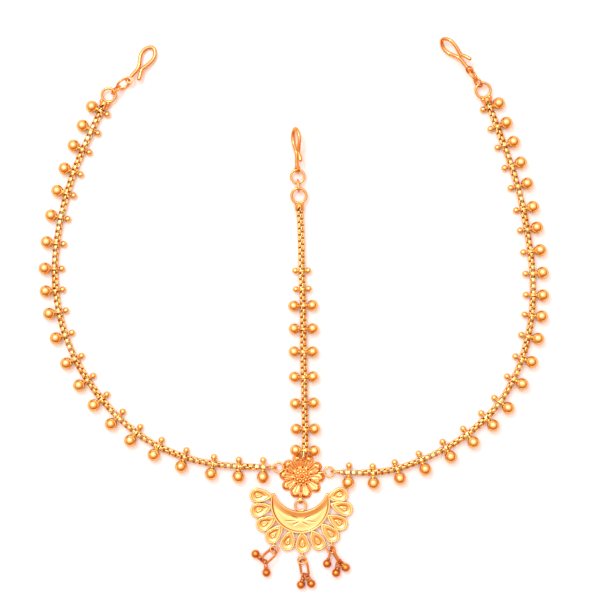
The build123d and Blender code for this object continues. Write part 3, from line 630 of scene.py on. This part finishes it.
@dataclass
class Rosette:
    """Flower casting: ten spoon-shaped petals round a hub of granules, with its soldered loops and bail."""

    petals: int = 10
    first_turn: float = -4.0  # degrees
    lobe_reach: float = 5.12  # middle of a petal's round end
    lobe_radius: float = 1.62
    lobe_start: float = 4.92  # from here out the round end can be narrower than the wedge
    slit: float = 0.09  # half width of the cleft between petals
    edge_height: float = 0.55
    fullness: float = 2.6  # power by which a petal falls to its edges
    # where the spoon in a petal starts, is full, wanes and ends
    spoon: tuple[float, float, float, float] = (2.2, 2.9, 4.8, 5.8)
    hollow_depth: float = 0.34
    hollow_width: float = 0.45  # share of the petal's half width
    ridge_height: float = 0.42
    ridge_place: float = 0.78  # share of the half width
    ridge_width: float = 0.14
    cleft_edges: Pair = (0.95, 1.12)  # shares of the half width
    cleft_start: Pair = (2.8, 3.3)
    cleft_floor: float = 0.6
    hub_edges: Pair = (2.2, 2.75)
    hub_height: float = 1.5
    hub_fall: float = 0.05  # of the hub's dome, in mm for each square mm
    granules: tuple[GranuleRing, ...] = (
        GranuleRing(2.45, 0.46, 0.5),
        GranuleRing(1.6, 0.38, 0.0),
        GranuleRing(0.85, 0.26, 0.5),
    )
    granule_rise: float = 0.6  # share of a half ball
    boss_radius: float = 0.4
    boss_rise: float = 0.5
    least_height: float = 0.3
    side_fittings: tuple[Loop | Stem, ...] = (
        Loop((-7.02, 2.7, 1.3), LEVEL, 1.45, 0.6),
        Stem((-4.6, 1.85, 1.0), (-5.5, 2.15, 1.1), 0.42),
        Loop((8.07, 1.38, 1.3), LEVEL, 1.45, 0.6),
        Stem((4.9, 0.95, 1.0), (6.5, 1.15, 1.1), 0.42),
    )
    end_fittings: tuple[Loop | Stem, ...] = (
        Stem((-0.62, -4.9, 1.0), (-0.62, -5.85, 1.03), 0.4),
        Stem((-0.18, -4.9, 1.0), (-0.18, -5.85, 1.03), 0.4),
        Loop((0.8, 5.8, 2.6), (0.75, 0.0, 0.66), 0.87, 0.4),
        Stem((0.65, 4.5, 0.8), (0.72, 4.93, 2.3), 0.28),
    )
    bail_centre: Point = (-0.4, -7.0, 1.13)
    bail_radii: Pair = (0.63, 1.13)
    bail_width: float = 1.1

    RINGS = 120  # of points, from the middle to the outline
    AROUND = 720  # points in each ring
    BAIL_STEPS = 48
    # rows round the side and back: shares of the rim's height and of the outline's radius
    SKIRT = ((0.6, 1.005), (0.25, 0.995), (0.05, 0.97), (0.0, 0.94), (0.0, 0.6), (0.0, 0.0))
    # the crown's height at distances from the centre
    CROWN_REACH = (0.0, 2.2, 3.2, 4.2, 5.2, 6.0, 6.4, 6.62, 6.74)
    CROWN_HEIGHT = (1.6, 1.45, 1.5, 1.75, 1.95, 1.78, 1.45, 1.05, 0.6)
    # the bail's section: shares of its width, and of the way from its hole to its outside
    BAIL_SECTION = (
        (-0.5, 0.06), (-0.46, 0.0), (0.46, 0.0), (0.5, 0.06), (0.5, 0.8),
        (0.4, 0.98), (0.0, 1.0), (-0.4, 0.98), (-0.5, 0.8),
    )
    # relief, for the finish: painted light and shade. Painted highlights on the ridges, granules and boss;
    # painted shade in the petals' hollows, on their falling tips, over the hub and on the side and back; the
    # clefts painted pale against the red of their own bounced light
    PETAL_TONE = 0.72
    RIDGE_TONE = 0.28
    HOLLOW_TONE = 0.22
    TIP_TONE = 0.3
    TIP_EDGES = (5.6, 6.6)
    CLEFT_TONE = 0.9
    BRIGHT_GRANULE = (0.02, 0.12)  # heights between which a granule is painted bright, as a highlight
    BOSS_TONE = 0.3
    BACK_TONE = 0.4
    BAIL_TONE = 0.7

    @property
    def pitch(self) -> float:
        """Degrees from one petal to the next."""
        return 360 / self.petals

    def from_nearest(self, angle: Array, turn: float = 0.0) -> Array:
        """Radians from the nearest petal's middle, or from lines turned from it by a share of the pitch."""
        shift = self.first_turn + turn * self.pitch
        return np.radians((np.degrees(angle) - shift + self.pitch / 2) % self.pitch - self.pitch / 2)

    def half_width(self, out: Array) -> Array:
        """Half of a petal's width: its share of the circle, or its round end where that is less.

        Args:
            out: distances from the middle along the petal.

        Returns:
            Half widths at those distances.
        """
        wedge = out * np.tan(np.radians(self.pitch / 2))
        lobe = np.sqrt(np.clip(self.lobe_radius**2 - (out - self.lobe_reach) ** 2, 0.01, None))
        return np.where(out < self.lobe_start, wedge, np.minimum(wedge, lobe))

    def granule_height(self, radius: Array, angle: Array) -> Array:
        """Height of the half balls that stand on the hub: the root of what is left of their radius squared.

        Args:
            radius: distances from the middle, one row for each ring.
            angle: radians, one for each column.

        Returns:
            Height above the hub, 0 between the granules.
        """
        height = np.zeros_like(radius)
        for ring in self.granules:
            away = self.from_nearest(angle, ring.turn)
            x = radius * np.cos(away)[None, :] - ring.radius
            y = radius * np.sin(away)[None, :]
            height = np.maximum(height, np.sqrt(np.clip(ring.size**2 - x**2 - y**2, 0, None)))
        return height

    def face(self, radius: Array, angle: Array) -> tuple[Array, Array]:
        """Height and relief of the cast face, the relief being its painted light and shade.

        A petal's height falls from its crown to its edges as a power of the share of its half width. A hollow
        runs down its middle with a ridge on each side, and all of it fades into the domed hub.

        Args:
            radius: distances from the middle, one row for each ring.
            angle: radians, one for each column.

        Returns:
            Height in millimetres, and relief, the painted light and shade.
        """
        local = self.from_nearest(angle)
        off = np.abs(radius * np.sin(local)[None, :])
        out = radius * np.cos(local)[None, :]
        share = np.clip(off / np.maximum(self.half_width(out) - self.slit, 0.05), 0, 1.4)
        crown = np.interp(out, self.CROWN_REACH, self.CROWN_HEIGHT)
        body = self.edge_height + (crown - self.edge_height) * (1 - np.clip(share, 0, 1) ** self.fullness)
        starts, full, wanes, ends = self.spoon
        inner = smoothstep(starts, full, out) * (1 - smoothstep(wanes, ends, out))
        hollow = bump(share, 0.0, self.hollow_width) * inner
        ridge = bump(share, self.ridge_place, self.ridge_width) * inner
        body = body - self.hollow_depth * hollow + self.ridge_height * ridge
        cleft = smoothstep(*self.cleft_edges, share) * smoothstep(*self.cleft_start, radius)
        body = body * (1 - cleft) + self.cleft_floor * cleft
        hub_share = 1 - smoothstep(*self.hub_edges, radius)
        hub = self.hub_height - self.hub_fall * radius**2
        height = body * (1 - hub_share) + hub * hub_share
        granule = self.granule_height(radius, angle)
        boss = np.sqrt(np.clip(self.boss_radius**2 - radius**2, 0, None))
        height = np.maximum(height + self.granule_rise * granule + self.boss_rise * boss, self.least_height)
        # painted highlight on the ridges; painted shade in the hollow and on the falling tips
        relief = self.PETAL_TONE + self.RIDGE_TONE * ridge - self.HOLLOW_TONE * hollow
        relief = relief - self.TIP_TONE * smoothstep(*self.TIP_EDGES, out)
        # the clefts painted pale, against the red of the light bounced in them
        relief = relief * (1 - cleft) + self.CLEFT_TONE * cleft
        # painted shade over the hub
        relief = relief * (1 - hub_share)
        # painted highlights on the granules and the boss
        relief = np.maximum(relief, smoothstep(*self.BRIGHT_GRANULE, granule)) + self.BOSS_TONE * boss
        return height, np.clip(relief, 0, 1)

    def skin(self) -> Shape:
        """Cast face, side and back on a polar grid, out to the scalloped outline of the petals' round ends.

        Returns:
            One closed skin.
        """
        angle = np.linspace(0, 2 * np.pi, self.AROUND, endpoint=False)
        local = self.from_nearest(angle)
        inside = np.clip(self.lobe_radius**2 - (self.lobe_reach * np.sin(local)) ** 2, 0, None)
        outline = self.lobe_reach * np.cos(local) + np.sqrt(inside)
        radius = (np.linspace(0, 1, self.RINGS)[:, None] ** 0.9) * outline[None, :]
        height, relief = self.face(radius, angle)
        x = radius * np.cos(angle)[None, :]
        y = radius * np.sin(angle)[None, :]
        rows = [np.stack([x, y, height], axis=-1)]
        tones = [relief]
        for rise, reach in self.SKIRT:
            rows.append(np.stack([x[-1] * reach, y[-1] * reach, height[-1] * rise], axis=-1)[None])
            # the side and back in painted shade
            tones.append(np.full((1, self.AROUND), self.BACK_TONE))
        points = np.concatenate(rows)
        quads = grid_faces(points.shape[0], self.AROUND, False, True)[:, ::-1]
        return Shape(points.reshape(-1, 3), quads, np.concatenate(tones).ravel())

    def bail(self) -> Shape:
        """Short band across the pendant ring: a rounded section carried round the x axis.

        Returns:
            The band.
        """
        hole, outer = self.bail_radii
        turn = np.linspace(0, 2 * np.pi, self.BAIL_STEPS, endpoint=False)
        section = np.array(self.BAIL_SECTION)
        out = hole + (outer - hole) * section[:, 1]
        x = self.bail_width * section[:, 0] + self.bail_centre[0]
        y = self.bail_centre[1] + out * np.cos(turn)[:, None]
        z = self.bail_centre[2] + out * np.sin(turn)[:, None]
        points = np.stack(np.broadcast_arrays(x, y, z), axis=-1).reshape(-1, 3)
        faces = grid_faces(self.BAIL_STEPS, len(section), True, True)
        return Shape(points, faces, np.full(len(points), self.BAIL_TONE))

    def build(self, material: bpy.types.Material) -> bpy.types.Object:
        """Join the skin, loops, bail and the stems that solder them on.

        Args:
            material: the casting's finish.

        Returns:
            The object.
        """
        shapes = [
            self.skin(),
            *(fitting.shape() for fitting in self.side_fittings),
            self.bail(),
            *(fitting.shape() for fitting in self.end_fittings),
        ]
        return build("rosette_casting", Shape.joined(shapes), material, ["rosette"])


# --- crescent pendant


class Stroke(NamedTuple):
    """One engraved ray: where its middle line starts and ends, and its half width and depth at the middle."""

    start: Pair
    end: Pair
    size: float


class Drop(NamedTuple):
    """One teardrop of the fringe: the middle of its round end, and its point."""

    round_end: Pair
    point: Pair


class Line(NamedTuple):
    """One line struck into a teardrop along its outline."""

    place: float  # share of the way from the middle to the outline
    width: float
    depth: float
    tone: float  # painted shade that it takes off the relief


class BellEye(NamedTuple):
    """One ring under the fringe, for a cluster of bells."""

    x: float
    y: float
    drop: int  # the teardrop that it is soldered to


@dataclass
class Crescent:
    """Crescent with a raised rim, sloping walls and an engraved floor, and its fringe of teardrops."""

    outer_centre: Pair = (-0.51, -8.1)
    outer_radius: float = 8.95
    inner_centre: Pair = (-0.45, -2.22)
    inner_radius: float = 8.3
    height: float = 1.7
    floor: float = 1.34
    tip_level: float = -5.6  # where the tips start to round off
    tips: tuple[Pair, ...] = ((-8.57, 0.53), (7.61, 0.48))  # middle in x, radius
    rim_round: float = 0.14
    outer_wall: Pair = (0.42, 0.5)  # rim's width, wall's run
    inner_wall: Pair = (0.25, 1.6)
    floor_crown: float = 0.1
    crown_edges: Pair = (1.4, 3.2)  # distances from the edge
    cut_depth: float = 0.6  # share of a stroke's size
    strokes: tuple[Stroke, ...] = (
        Stroke((-3.6, -11.6), (-0.7, -13.1), 0.36),
        Stroke((3.0, -11.8), (-0.1, -13.1), 0.36),
        Stroke((-3.1, -14.8), (-0.6, -13.45), 0.34),
        Stroke((2.0, -14.8), (-0.2, -13.45), 0.34),
        Stroke((-5.6, -13.4), (-1.2, -13.3), 0.26),
        Stroke((4.4, -13.7), (0.5, -13.3), 0.28),
    )
    drops: tuple[Drop, ...] = (
        Drop((-13.5, -5.7), (-9.1, -5.9)),
        Drop((-13.3, -10.2), (-9.3, -9.0)),
        Drop((-11.6, -14.4), (-7.9, -12.5)),
        Drop((-8.9, -18.0), (-5.9, -14.8)),
        Drop((-4.4, -20.1), (-3.1, -16.5)),
        Drop((0.2, -20.8), (0.0, -16.8)),
        Drop((5.0, -20.0), (3.0, -16.4)),
        Drop((9.1, -17.7), (5.9, -14.4)),
        Drop((11.5, -14.1), (7.7, -11.8)),
        Drop((13.0, -9.8), (8.8, -8.3)),
        Drop((11.6, -5.45), (8.0, -6.4)),
    )
    drop_radius: float = 2.2
    drop_overlap: float = 0.4  # how far a teardrop's point reaches into the crescent
    drop_point: float = 0.3  # radius of the point
    drop_waist: Pair = (0.48, 0.72)  # where the outline is held full, and how full
    drop_middle: float = 0.3
    drop_floor: float = 1.16
    flank_rise: float = 0.22
    flank_edges: Pair = (0.4, 0.78)  # shares of the way out, as all that follow
    groove: Line = Line(0.76, 0.035, 0.16, 0.5)
    channel: Line = Line(0.37, 0.09, 0.11, 0.45)
    island_rise: float = 0.12
    island_edges: Pair = (0.2, 0.33)
    shoulder_start: float = 0.9
    shoulder_fall: float = 0.16
    slot_size: Pair = (0.6, 0.13)  # half length and half width
    slot_place: float = 0.35
    slot_depth: float = 0.12
    top_ring: Loop = Loop((-0.45, -8.64, 1.13), LEVEL, 1.625, 0.65)
    eyes: tuple[BellEye, ...] = (BellEye(-8.25, -21.8, 3), BellEye(-0.03, -24.9, 5), BellEye(8.64, -21.7, 7))
    eye_height: float = 1.35
    eye_radius: float = 1.175
    eye_wire: float = 0.55
    stem_span: Pair = (2.2, 1.3)  # distances of a stem's ends from the eye's middle
    stem_heights: Pair = (1.0, 1.2)
    stem_radius: float = 0.4

    ROWS = 70
    ARC_STEPS = 340
    TIP_STEPS = 20
    OUTLINE_STEPS = 96
    DROP_ROWS = 58
    DROP_SIDES = ((1.0, 0.45), (0.985, 0.1), (0.95, 0.0))  # share of the outline, height
    # relief, for the finish: middle and width of the painted shade on each wall, and how deep it is; the
    # slot, the back and the teardrops' undersides are painted in shade too
    OUTER_SHADE = (0.5, 0.4, 0.85)
    INNER_SHADE = (0.4, 0.4, 0.4)
    SLOT_SHADE = 0.2
    BACK_TONE = 0.4
    DROP_BACK_TONE = 0.45

    def engraving(self, x: Array, y: Array) -> Array:
        """Cut the rays on the floor: each falls in a straight slope to its middle line and tapers as a sine.

        Args:
            x: places on the crescent.
            y: places on the crescent.

        Returns:
            How deep the cut is at each place.
        """
        cut = np.zeros_like(x)
        for (ax, ay), (bx, by), size in self.strokes:
            run = np.hypot(bx - ax, by - ay)
            ux, uy = (bx - ax) / run, (by - ay) / run
            along = ((x - ax) * ux + (y - ay) * uy) / run
            across = np.abs(-(x - ax) * uy + (y - ay) * ux)
            taper = size * np.clip(np.sin(np.pi * np.clip(along, 0, 1)), 0, 1) + 1e-3
            cut = np.maximum(cut, np.clip(1 - across / taper, 0, 1) * ((along > 0) & (along < 1)) * taper)
        return cut

    def arc(self, centre: Pair, radius: float) -> Array:
        """Arc through the underside, from tip level on the left to tip level on the right.

        Args:
            centre: of the circle.
            radius: of the circle.

        Returns:
            Points of the arc.
        """
        x, y = centre
        start = np.arcsin((self.tip_level - y) / radius)
        angle = np.pi - start + np.linspace(0, 1, self.ARC_STEPS) * (np.pi + 2 * start)
        return np.stack([x + radius * np.cos(angle), y + radius * np.sin(angle)], -1)

    def edges(self) -> tuple[Array, Array]:
        """Outer and inner edge: the arcs, each with a quarter of the tip's circle at both ends.

        Returns:
            Matching points on the outer and on the inner edge, from tip to tip.
        """
        outer = self.arc(self.outer_centre, self.outer_radius)
        inner = self.arc(self.inner_centre, self.inner_radius)
        caps = []
        for (middle, radius), side in zip(self.tips, (-1, 1)):
            lift = np.linspace(np.pi / 2, 0, self.TIP_STEPS)[:-1]
            level = self.tip_level + radius * np.sin(lift)
            wide = np.stack([middle + side * radius * np.cos(lift), level], -1)
            near = np.stack([middle - side * radius * np.cos(lift), level], -1)
            caps.append((wide, near))
        (left_wide, left_near), (right_wide, right_near) = caps
        outer = np.concatenate([left_wide, outer, right_wide[::-1]])
        inner = np.concatenate([left_near, inner, right_near[::-1]])
        return outer, inner

    def insets(self, x: Array, y: Array) -> tuple[Array, Array]:
        """Measure how far points lie inside the circles of the edges and, past tip level, of the tips.

        Args:
            x: places on the crescent.
            y: places on the crescent.

        Returns:
            Distances from the outer and from the inner edge.
        """
        (ox, oy), (ix, iy) = self.outer_centre, self.inner_centre
        from_outer = np.clip(self.outer_radius - np.hypot(x - ox, y - oy), 0, None)
        from_inner = np.clip(np.hypot(x - ix, y - iy) - self.inner_radius, 0, None)
        for middle, radius in self.tips:
            capped = (y > self.tip_level) & (np.abs(x - middle) < 2 * radius)
            inset = np.clip(radius - np.hypot(x - middle, y - self.tip_level), 0, None)
            from_outer = np.where(capped, inset, from_outer)
            from_inner = np.where(capped, inset, from_inner)
        return from_outer, from_inner

    def body(self) -> Shape:
        """Crescent skin: rows run from the outer arc to the inner arc, columns from tip to tip.

        The height stays level over the rims, falls down both walls to the floor and rises a little again
        towards the floor's middle. The rays are cut into it.

        Returns:
            One closed skin.
        """
        outer, inner = self.edges()
        columns = len(outer)
        t = np.linspace(0, 1, self.ROWS)[:, None, None]
        t = 0.5 - 0.5 * np.cos(np.pi * t)
        flat = outer[None] * (1 - t) + inner[None] * t
        x, y = flat[..., 0], flat[..., 1]
        from_outer, from_inner = self.insets(x, y)
        edge = np.minimum(from_outer, from_inner)
        rounding = self.rim_round
        shoulder = rounding * (1 - np.sqrt(np.clip(1 - (1 - edge / rounding) ** 2, 0, 1))) * (edge < rounding)
        outer_fall = np.clip((from_outer - self.outer_wall[0]) / self.outer_wall[1], 0, 1)
        inner_fall = np.clip((from_inner - self.inner_wall[0]) / self.inner_wall[1], 0, 1)
        fall = np.minimum(outer_fall, inner_fall)
        floor_rise = self.floor_crown * smoothstep(*self.crown_edges, edge)
        height = self.height - (self.height - self.floor) * fall + floor_rise - shoulder
        height = height - self.cut_depth * self.engraving(x, y)
        # painted shade down each wall below its rim
        place, width, shade = self.OUTER_SHADE
        relief = 1.0 - shade * bump(outer_fall, place, width) * (outer_fall < inner_fall)
        place, width, shade = self.INNER_SHADE
        relief = relief - shade * bump(inner_fall, place, width)
        top = np.stack([x, y, height], axis=-1)
        under = np.stack([x[::-1], y[::-1], np.zeros_like(x)], axis=-1)
        halfway = np.array([1.0, 1.0, 0.5])
        points = np.concatenate([top, top[-1:] * halfway, under[:: self.ROWS - 1], top[:1] * halfway])
        tone = np.concatenate([relief, np.full((len(points) - len(top), columns), self.BACK_TONE)])
        quads = grid_faces(points.shape[0], columns, True, False)
        return Shape(points.reshape(-1, 3), quads, tone.ravel())

    def outline(self, reach: float) -> Array:
        """Teardrop outline: the hull of three circles along x, evenly resampled.

        The hull's point in a direction is the one of the circle that reaches furthest that way.

        Args:
            reach: from the middle of the round end to the point.

        Returns:
            Points round the outline.
        """
        place, fullness = self.drop_waist
        waist = (place * reach, fullness * self.drop_radius)
        circles = np.array([(0.0, self.drop_radius), waist, (reach - self.drop_point, self.drop_point)])
        way = np.linspace(0, 2 * np.pi, 361)
        furthest = np.argmax(circles[:, 0:1] * np.cos(way) + circles[:, 1:2], axis=0)
        middle, radius = circles[furthest, 0], circles[furthest, 1]
        hull = np.stack([middle + radius * np.cos(way), radius * np.sin(way)], -1)
        along = np.concatenate([[0.0], np.cumsum(np.linalg.norm(np.diff(hull, axis=0), axis=1))])
        even = np.linspace(0, along[-1], self.OUTLINE_STEPS + 1)[:-1]
        return np.stack([np.interp(even, along, hull[:, i]) for i in range(2)], -1)

    def teardrop(self, reach: float) -> Shape:
        """Teardrop about its round end, point along x.

        Rows shrink the outline towards the middle. The height goes over a rounded rim, a fine groove, a flank
        that falls inwards, a channel and an island with a slot.

        Args:
            reach: from the middle of the round end to the point.

        Returns:
            One closed skin.
        """
        outline = self.outline(reach)
        middle = np.array([self.drop_middle, 0.0])
        levels = np.concatenate([np.linspace(1.0, 0.02, self.DROP_ROWS), [0.0]])
        flat = middle + levels[:, None, None] * (outline - middle)[None]
        t = levels[:, None]
        groove = bump(t, self.groove.place, self.groove.width)
        channel = bump(t, self.channel.place, self.channel.width)
        flank = smoothstep(*self.flank_edges, t)
        island = 1 - smoothstep(*self.island_edges, t)
        profile = self.drop_floor + self.flank_rise * flank - self.groove.depth * groove
        profile = profile - self.channel.depth * channel + self.island_rise * island
        shoulder = np.clip((t - self.shoulder_start) / (1 - self.shoulder_start), 0, 1)
        profile = profile - self.shoulder_fall * (1 - np.sqrt(1 - 0.98 * shoulder**2))
        half_length, half_width = self.slot_size
        slot = bump(flat[..., 1], 0, half_width) * bump(flat[..., 0], self.slot_place, half_length)
        height = profile - self.slot_depth * slot
        # painted shade in the groove, the channel and the slot
        relief = np.clip(1.0 - self.groove.tone * groove - self.channel.tone * channel, 0, 1)
        relief = relief - self.SLOT_SHADE * slot
        top = np.concatenate([flat, height[..., None]], axis=-1)
        sides = []
        for share, level in self.DROP_SIDES:
            ring_points = middle + share * (outline - middle)
            sides.append(np.concatenate([ring_points, np.full((len(outline), 1), level)], axis=-1)[None])
        under = np.broadcast_to([*middle, 0.0], (1, len(outline), 3))
        points = np.concatenate([under, *sides[::-1], top])
        tone = np.concatenate([np.full((1 + len(sides), len(outline)), self.DROP_BACK_TONE), relief])
        quads = grid_faces(points.shape[0], len(outline), False, True)
        return Shape(points.reshape(-1, 3), quads, tone.ravel())

    def fringe(self) -> list[Shape]:
        """Lay the teardrops in their places, with their points in the crescent.

        Returns:
            The teardrops.
        """
        shapes = []
        centre = np.array(self.outer_centre)
        for drop in self.drops:
            round_end, point = np.array(drop.round_end), np.array(drop.point)
            point = point + self.drop_overlap * unit(centre - point)
            run = point - round_end
            along = unit(run)
            x_axis = np.array([*along, 0.0])
            y_axis = np.array([-along[1], along[0], 0.0])
            made = self.teardrop(float(np.linalg.norm(run)))
            shapes.append(made.placed(np.array([*round_end, 0.0]), x_axis, y_axis, np.array(LEVEL)))
        return shapes

    def bell_eyes(self) -> list[Shape]:
        """Set the rings under the fringe, each with the stem that solders it on.

        Returns:
            Rings and stems.
        """
        shapes = []
        for eye in self.eyes:
            place = np.array([eye.x, eye.y])
            shapes.append(Loop((*place, self.eye_height), LEVEL, self.eye_radius, self.eye_wire).shape())
            away = unit(place - np.array(self.drops[eye.drop].round_end))
            spans = zip(self.stem_span, self.stem_heights)
            start, end = ((*(place - distance * away), height) for distance, height in spans)
            shapes.append(Stem(start, end, self.stem_radius).shape())
        return shapes

    def build(self, material: bpy.types.Material) -> bpy.types.Object:
        """Join the crescent, teardrops, rings and stems.

        Args:
            material: the pendant's finish.

        Returns:
            The object.
        """
        shapes = [self.body(), *self.fringe(), self.top_ring.shape(), *self.bell_eyes()]
        return build("crescent_casting", Shape.joined(shapes), material, ["crescent_pendant"])


# --- studio


@dataclass(frozen=True)
class Softbox:
    """Square area lamp. Places in metres, power in watts."""

    name: str
    place: Point
    aim: Point
    side: float
    power: float

    def hang(self) -> None:
        """Put the lamp in the scene."""
        lamp = bpy.data.lights.new(self.name, "AREA")
        lamp.shape = "SQUARE"
        lamp.size = self.side
        lamp.energy = self.power
        holder = bpy.data.objects.new(self.name, lamp)
        holder.location = self.place
        way = Vector(self.aim) - Vector(self.place)
        holder.rotation_euler = way.to_track_quat("-Z", "Y").to_euler()
        bpy.context.scene.collection.objects.link(holder)


@dataclass
class Studio:
    """White table, soft light and a camera straight above."""

    middle: Pair = (-0.6, 52.8)
    field_mm: float = 180.0
    lens: float = 100.0
    paper: str = "#FEF6F7"
    paper_roughness: float = 0.7
    table_half: float = 1.5  # metres
    cap_direction: Point = (-0.16, 0.4, 1.0)
    tent_strength: float = 2.06
    tent: tuple[tuple[float, Point], ...] = (  # cosine from the cap's middle, linear colour
        (0.0, (0.27, 0.1, 0.03)),
        (0.35, (0.44, 0.225, 0.1)),
        (0.7, (0.54, 0.495, 0.42)),
        (0.86, (0.8, 0.81, 0.82)),
        (1.0, (1.0, 1.06, 1.25)),
    )
    gap_direction: Point = (0.06, -0.66, 0.75)  # where the tent is open
    gap_colour: Point = (0.92, 0.8, 0.7)
    gap_edges: Pair = (0.87, 0.97)  # cosines from its middle
    softbox: Softbox = Softbox("softbox", (-0.2, 0.35, 0.55), (0.0, 0.05, 0.0), 0.16, 1.0)

    SENSOR_MM = 36.0

    def floor(self) -> None:
        """Plain white table top at z = 0."""
        mesh = bpy.data.meshes.new("table_top")
        side = self.table_half
        corners = [(-side, -side, 0), (side, -side, 0), (side, side, 0), (-side, side, 0)]
        mesh.from_pydata(corners, [], [(0, 1, 2, 3)])
        # smooth white paper: it shows only the soft warm shadows under the gold
        made = bpy.data.materials.new("white_table_paper")
        made.use_nodes = True
        shader = made.node_tree.nodes["Principled BSDF"]
        shader.inputs["Base Color"].default_value = linear(self.paper)
        shader.inputs["Roughness"].default_value = self.paper_roughness
        mesh.materials.append(made)
        table = bpy.data.objects.new("table_top", mesh)
        bpy.context.scene.collection.objects.link(table)

    def light(self) -> None:
        """Overhead light tent: a bright cap round the zenith, a dim warm horizon and an opening in front."""
        world = bpy.data.worlds.new("light_tent")
        bpy.context.scene.world = world
        world.use_nodes = True
        tree = world.node_tree
        tree.nodes.clear()
        where = add_node(tree, "ShaderNodeTexCoord")
        facing = []
        for direction in (self.cap_direction, self.gap_direction):
            towards = {"operation": "DOT_PRODUCT", 1: Vector(direction).normalized()}
            cosine = add_node(tree, "ShaderNodeVectorMath", towards, {0: where.outputs["Generated"]})
            facing.append(cosine.outputs["Value"])
        to_cap, to_gap = facing
        ramp = add_node(tree, "ShaderNodeValToRGB", None, {"Fac": to_cap})
        bands = ramp.color_ramp
        while len(bands.elements) < len(self.tent):
            bands.elements.new(0.5)
        for element, (place, colour) in zip(bands.elements, self.tent):
            element.position = place
            element.color = (*colour, 1.0)
        edges = dict(zip(RANGE, self.gap_edges + (0.0, 1.0)))
        opening = add_node(tree, "ShaderNodeMapRange", edges, {"Value": to_gap})
        shade = {"data_type": "RGBA", "blend_type": "MULTIPLY", MIX_SECOND: (*self.gap_colour, 1.0)}
        cloth = {MIX_SHARE: opening.outputs["Result"], MIX_FIRST: ramp.outputs["Color"]}
        shaded = add_node(tree, "ShaderNodeMix", shade, cloth).outputs[MIX_RESULT]
        glow = add_node(tree, "ShaderNodeBackground", {"Strength": self.tent_strength}, {"Color": shaded})
        add_node(tree, "ShaderNodeOutputWorld", None, {"Surface": glow.outputs["Background"]})
        self.softbox.hang()

    def camera(self) -> None:
        """Camera straight above, framing the whole jewel."""
        data = bpy.data.cameras.new("camera")
        data.lens = self.lens
        data.sensor_width = self.SENSOR_MM
        data.clip_start = 0.01
        holder = bpy.data.objects.new("camera", data)
        distance = self.field_mm * MM * self.lens / self.SENSOR_MM
        holder.location = (self.middle[0] * MM, self.middle[1] * MM, distance)
        bpy.context.scene.collection.objects.link(holder)
        bpy.context.scene.camera = holder

    def build(self) -> None:
        """Put the table, the lights and the camera in place."""
        self.floor()
        self.light()
        self.camera()
        view = bpy.context.scene.view_settings
        view.view_transform = "Standard"
        view.exposure = 0.0


# --- jewel


OWN_FINISH = ("bell_ring", "hook")  # last words of the nodes whose finish isn't their slot's


def dress_solids(finishes: dict[str, bpy.types.Material], frame: dict) -> None:
    """Give each CAD node that stays its finish: by the slot in the record, or by what kind of piece it is.

    Args:
        finishes: materials by slot, and by the last word of the nodes that have their own.
    """
    for row in frame["record"]["subparts"]:
        holder = frame["nodes"][row["node"]]
        kind = next((word for word in OWN_FINISH if row["node"].endswith(word)), row["material_slot"])
        for slot in holder.material_slots:
            slot.material = finishes[kind]
        log.info("dressed %s in %s", row["node"], kind)


def main() -> None:
    """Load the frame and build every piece."""
    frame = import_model()
    finishes = {
        "gold_casting": CAST_GOLD.material(),
        "gold_relief": RELIEF_GOLD.material(),
        "gold_chain": CHAIN_GOLD.material(),
        "gold_beads": BALL_GOLD.material(),
        "gold_wire": WIRE_GOLD.material(),
        "gold_bells": BELL_GOLD.material(),
        "hook": HOOK_GOLD.material(),
    }
    # the bell rings take the bells' finish, with its painted shade
    finishes["bell_ring"] = finishes["gold_bells"]
    dress_solids(finishes, frame)
    for chain in chains():
        chain.build(finishes["gold_chain"])
    Rosette().build(finishes["gold_casting"])
    Crescent().build(finishes["gold_relief"])
    Studio().build()


if __name__ == "__main__":
    main()
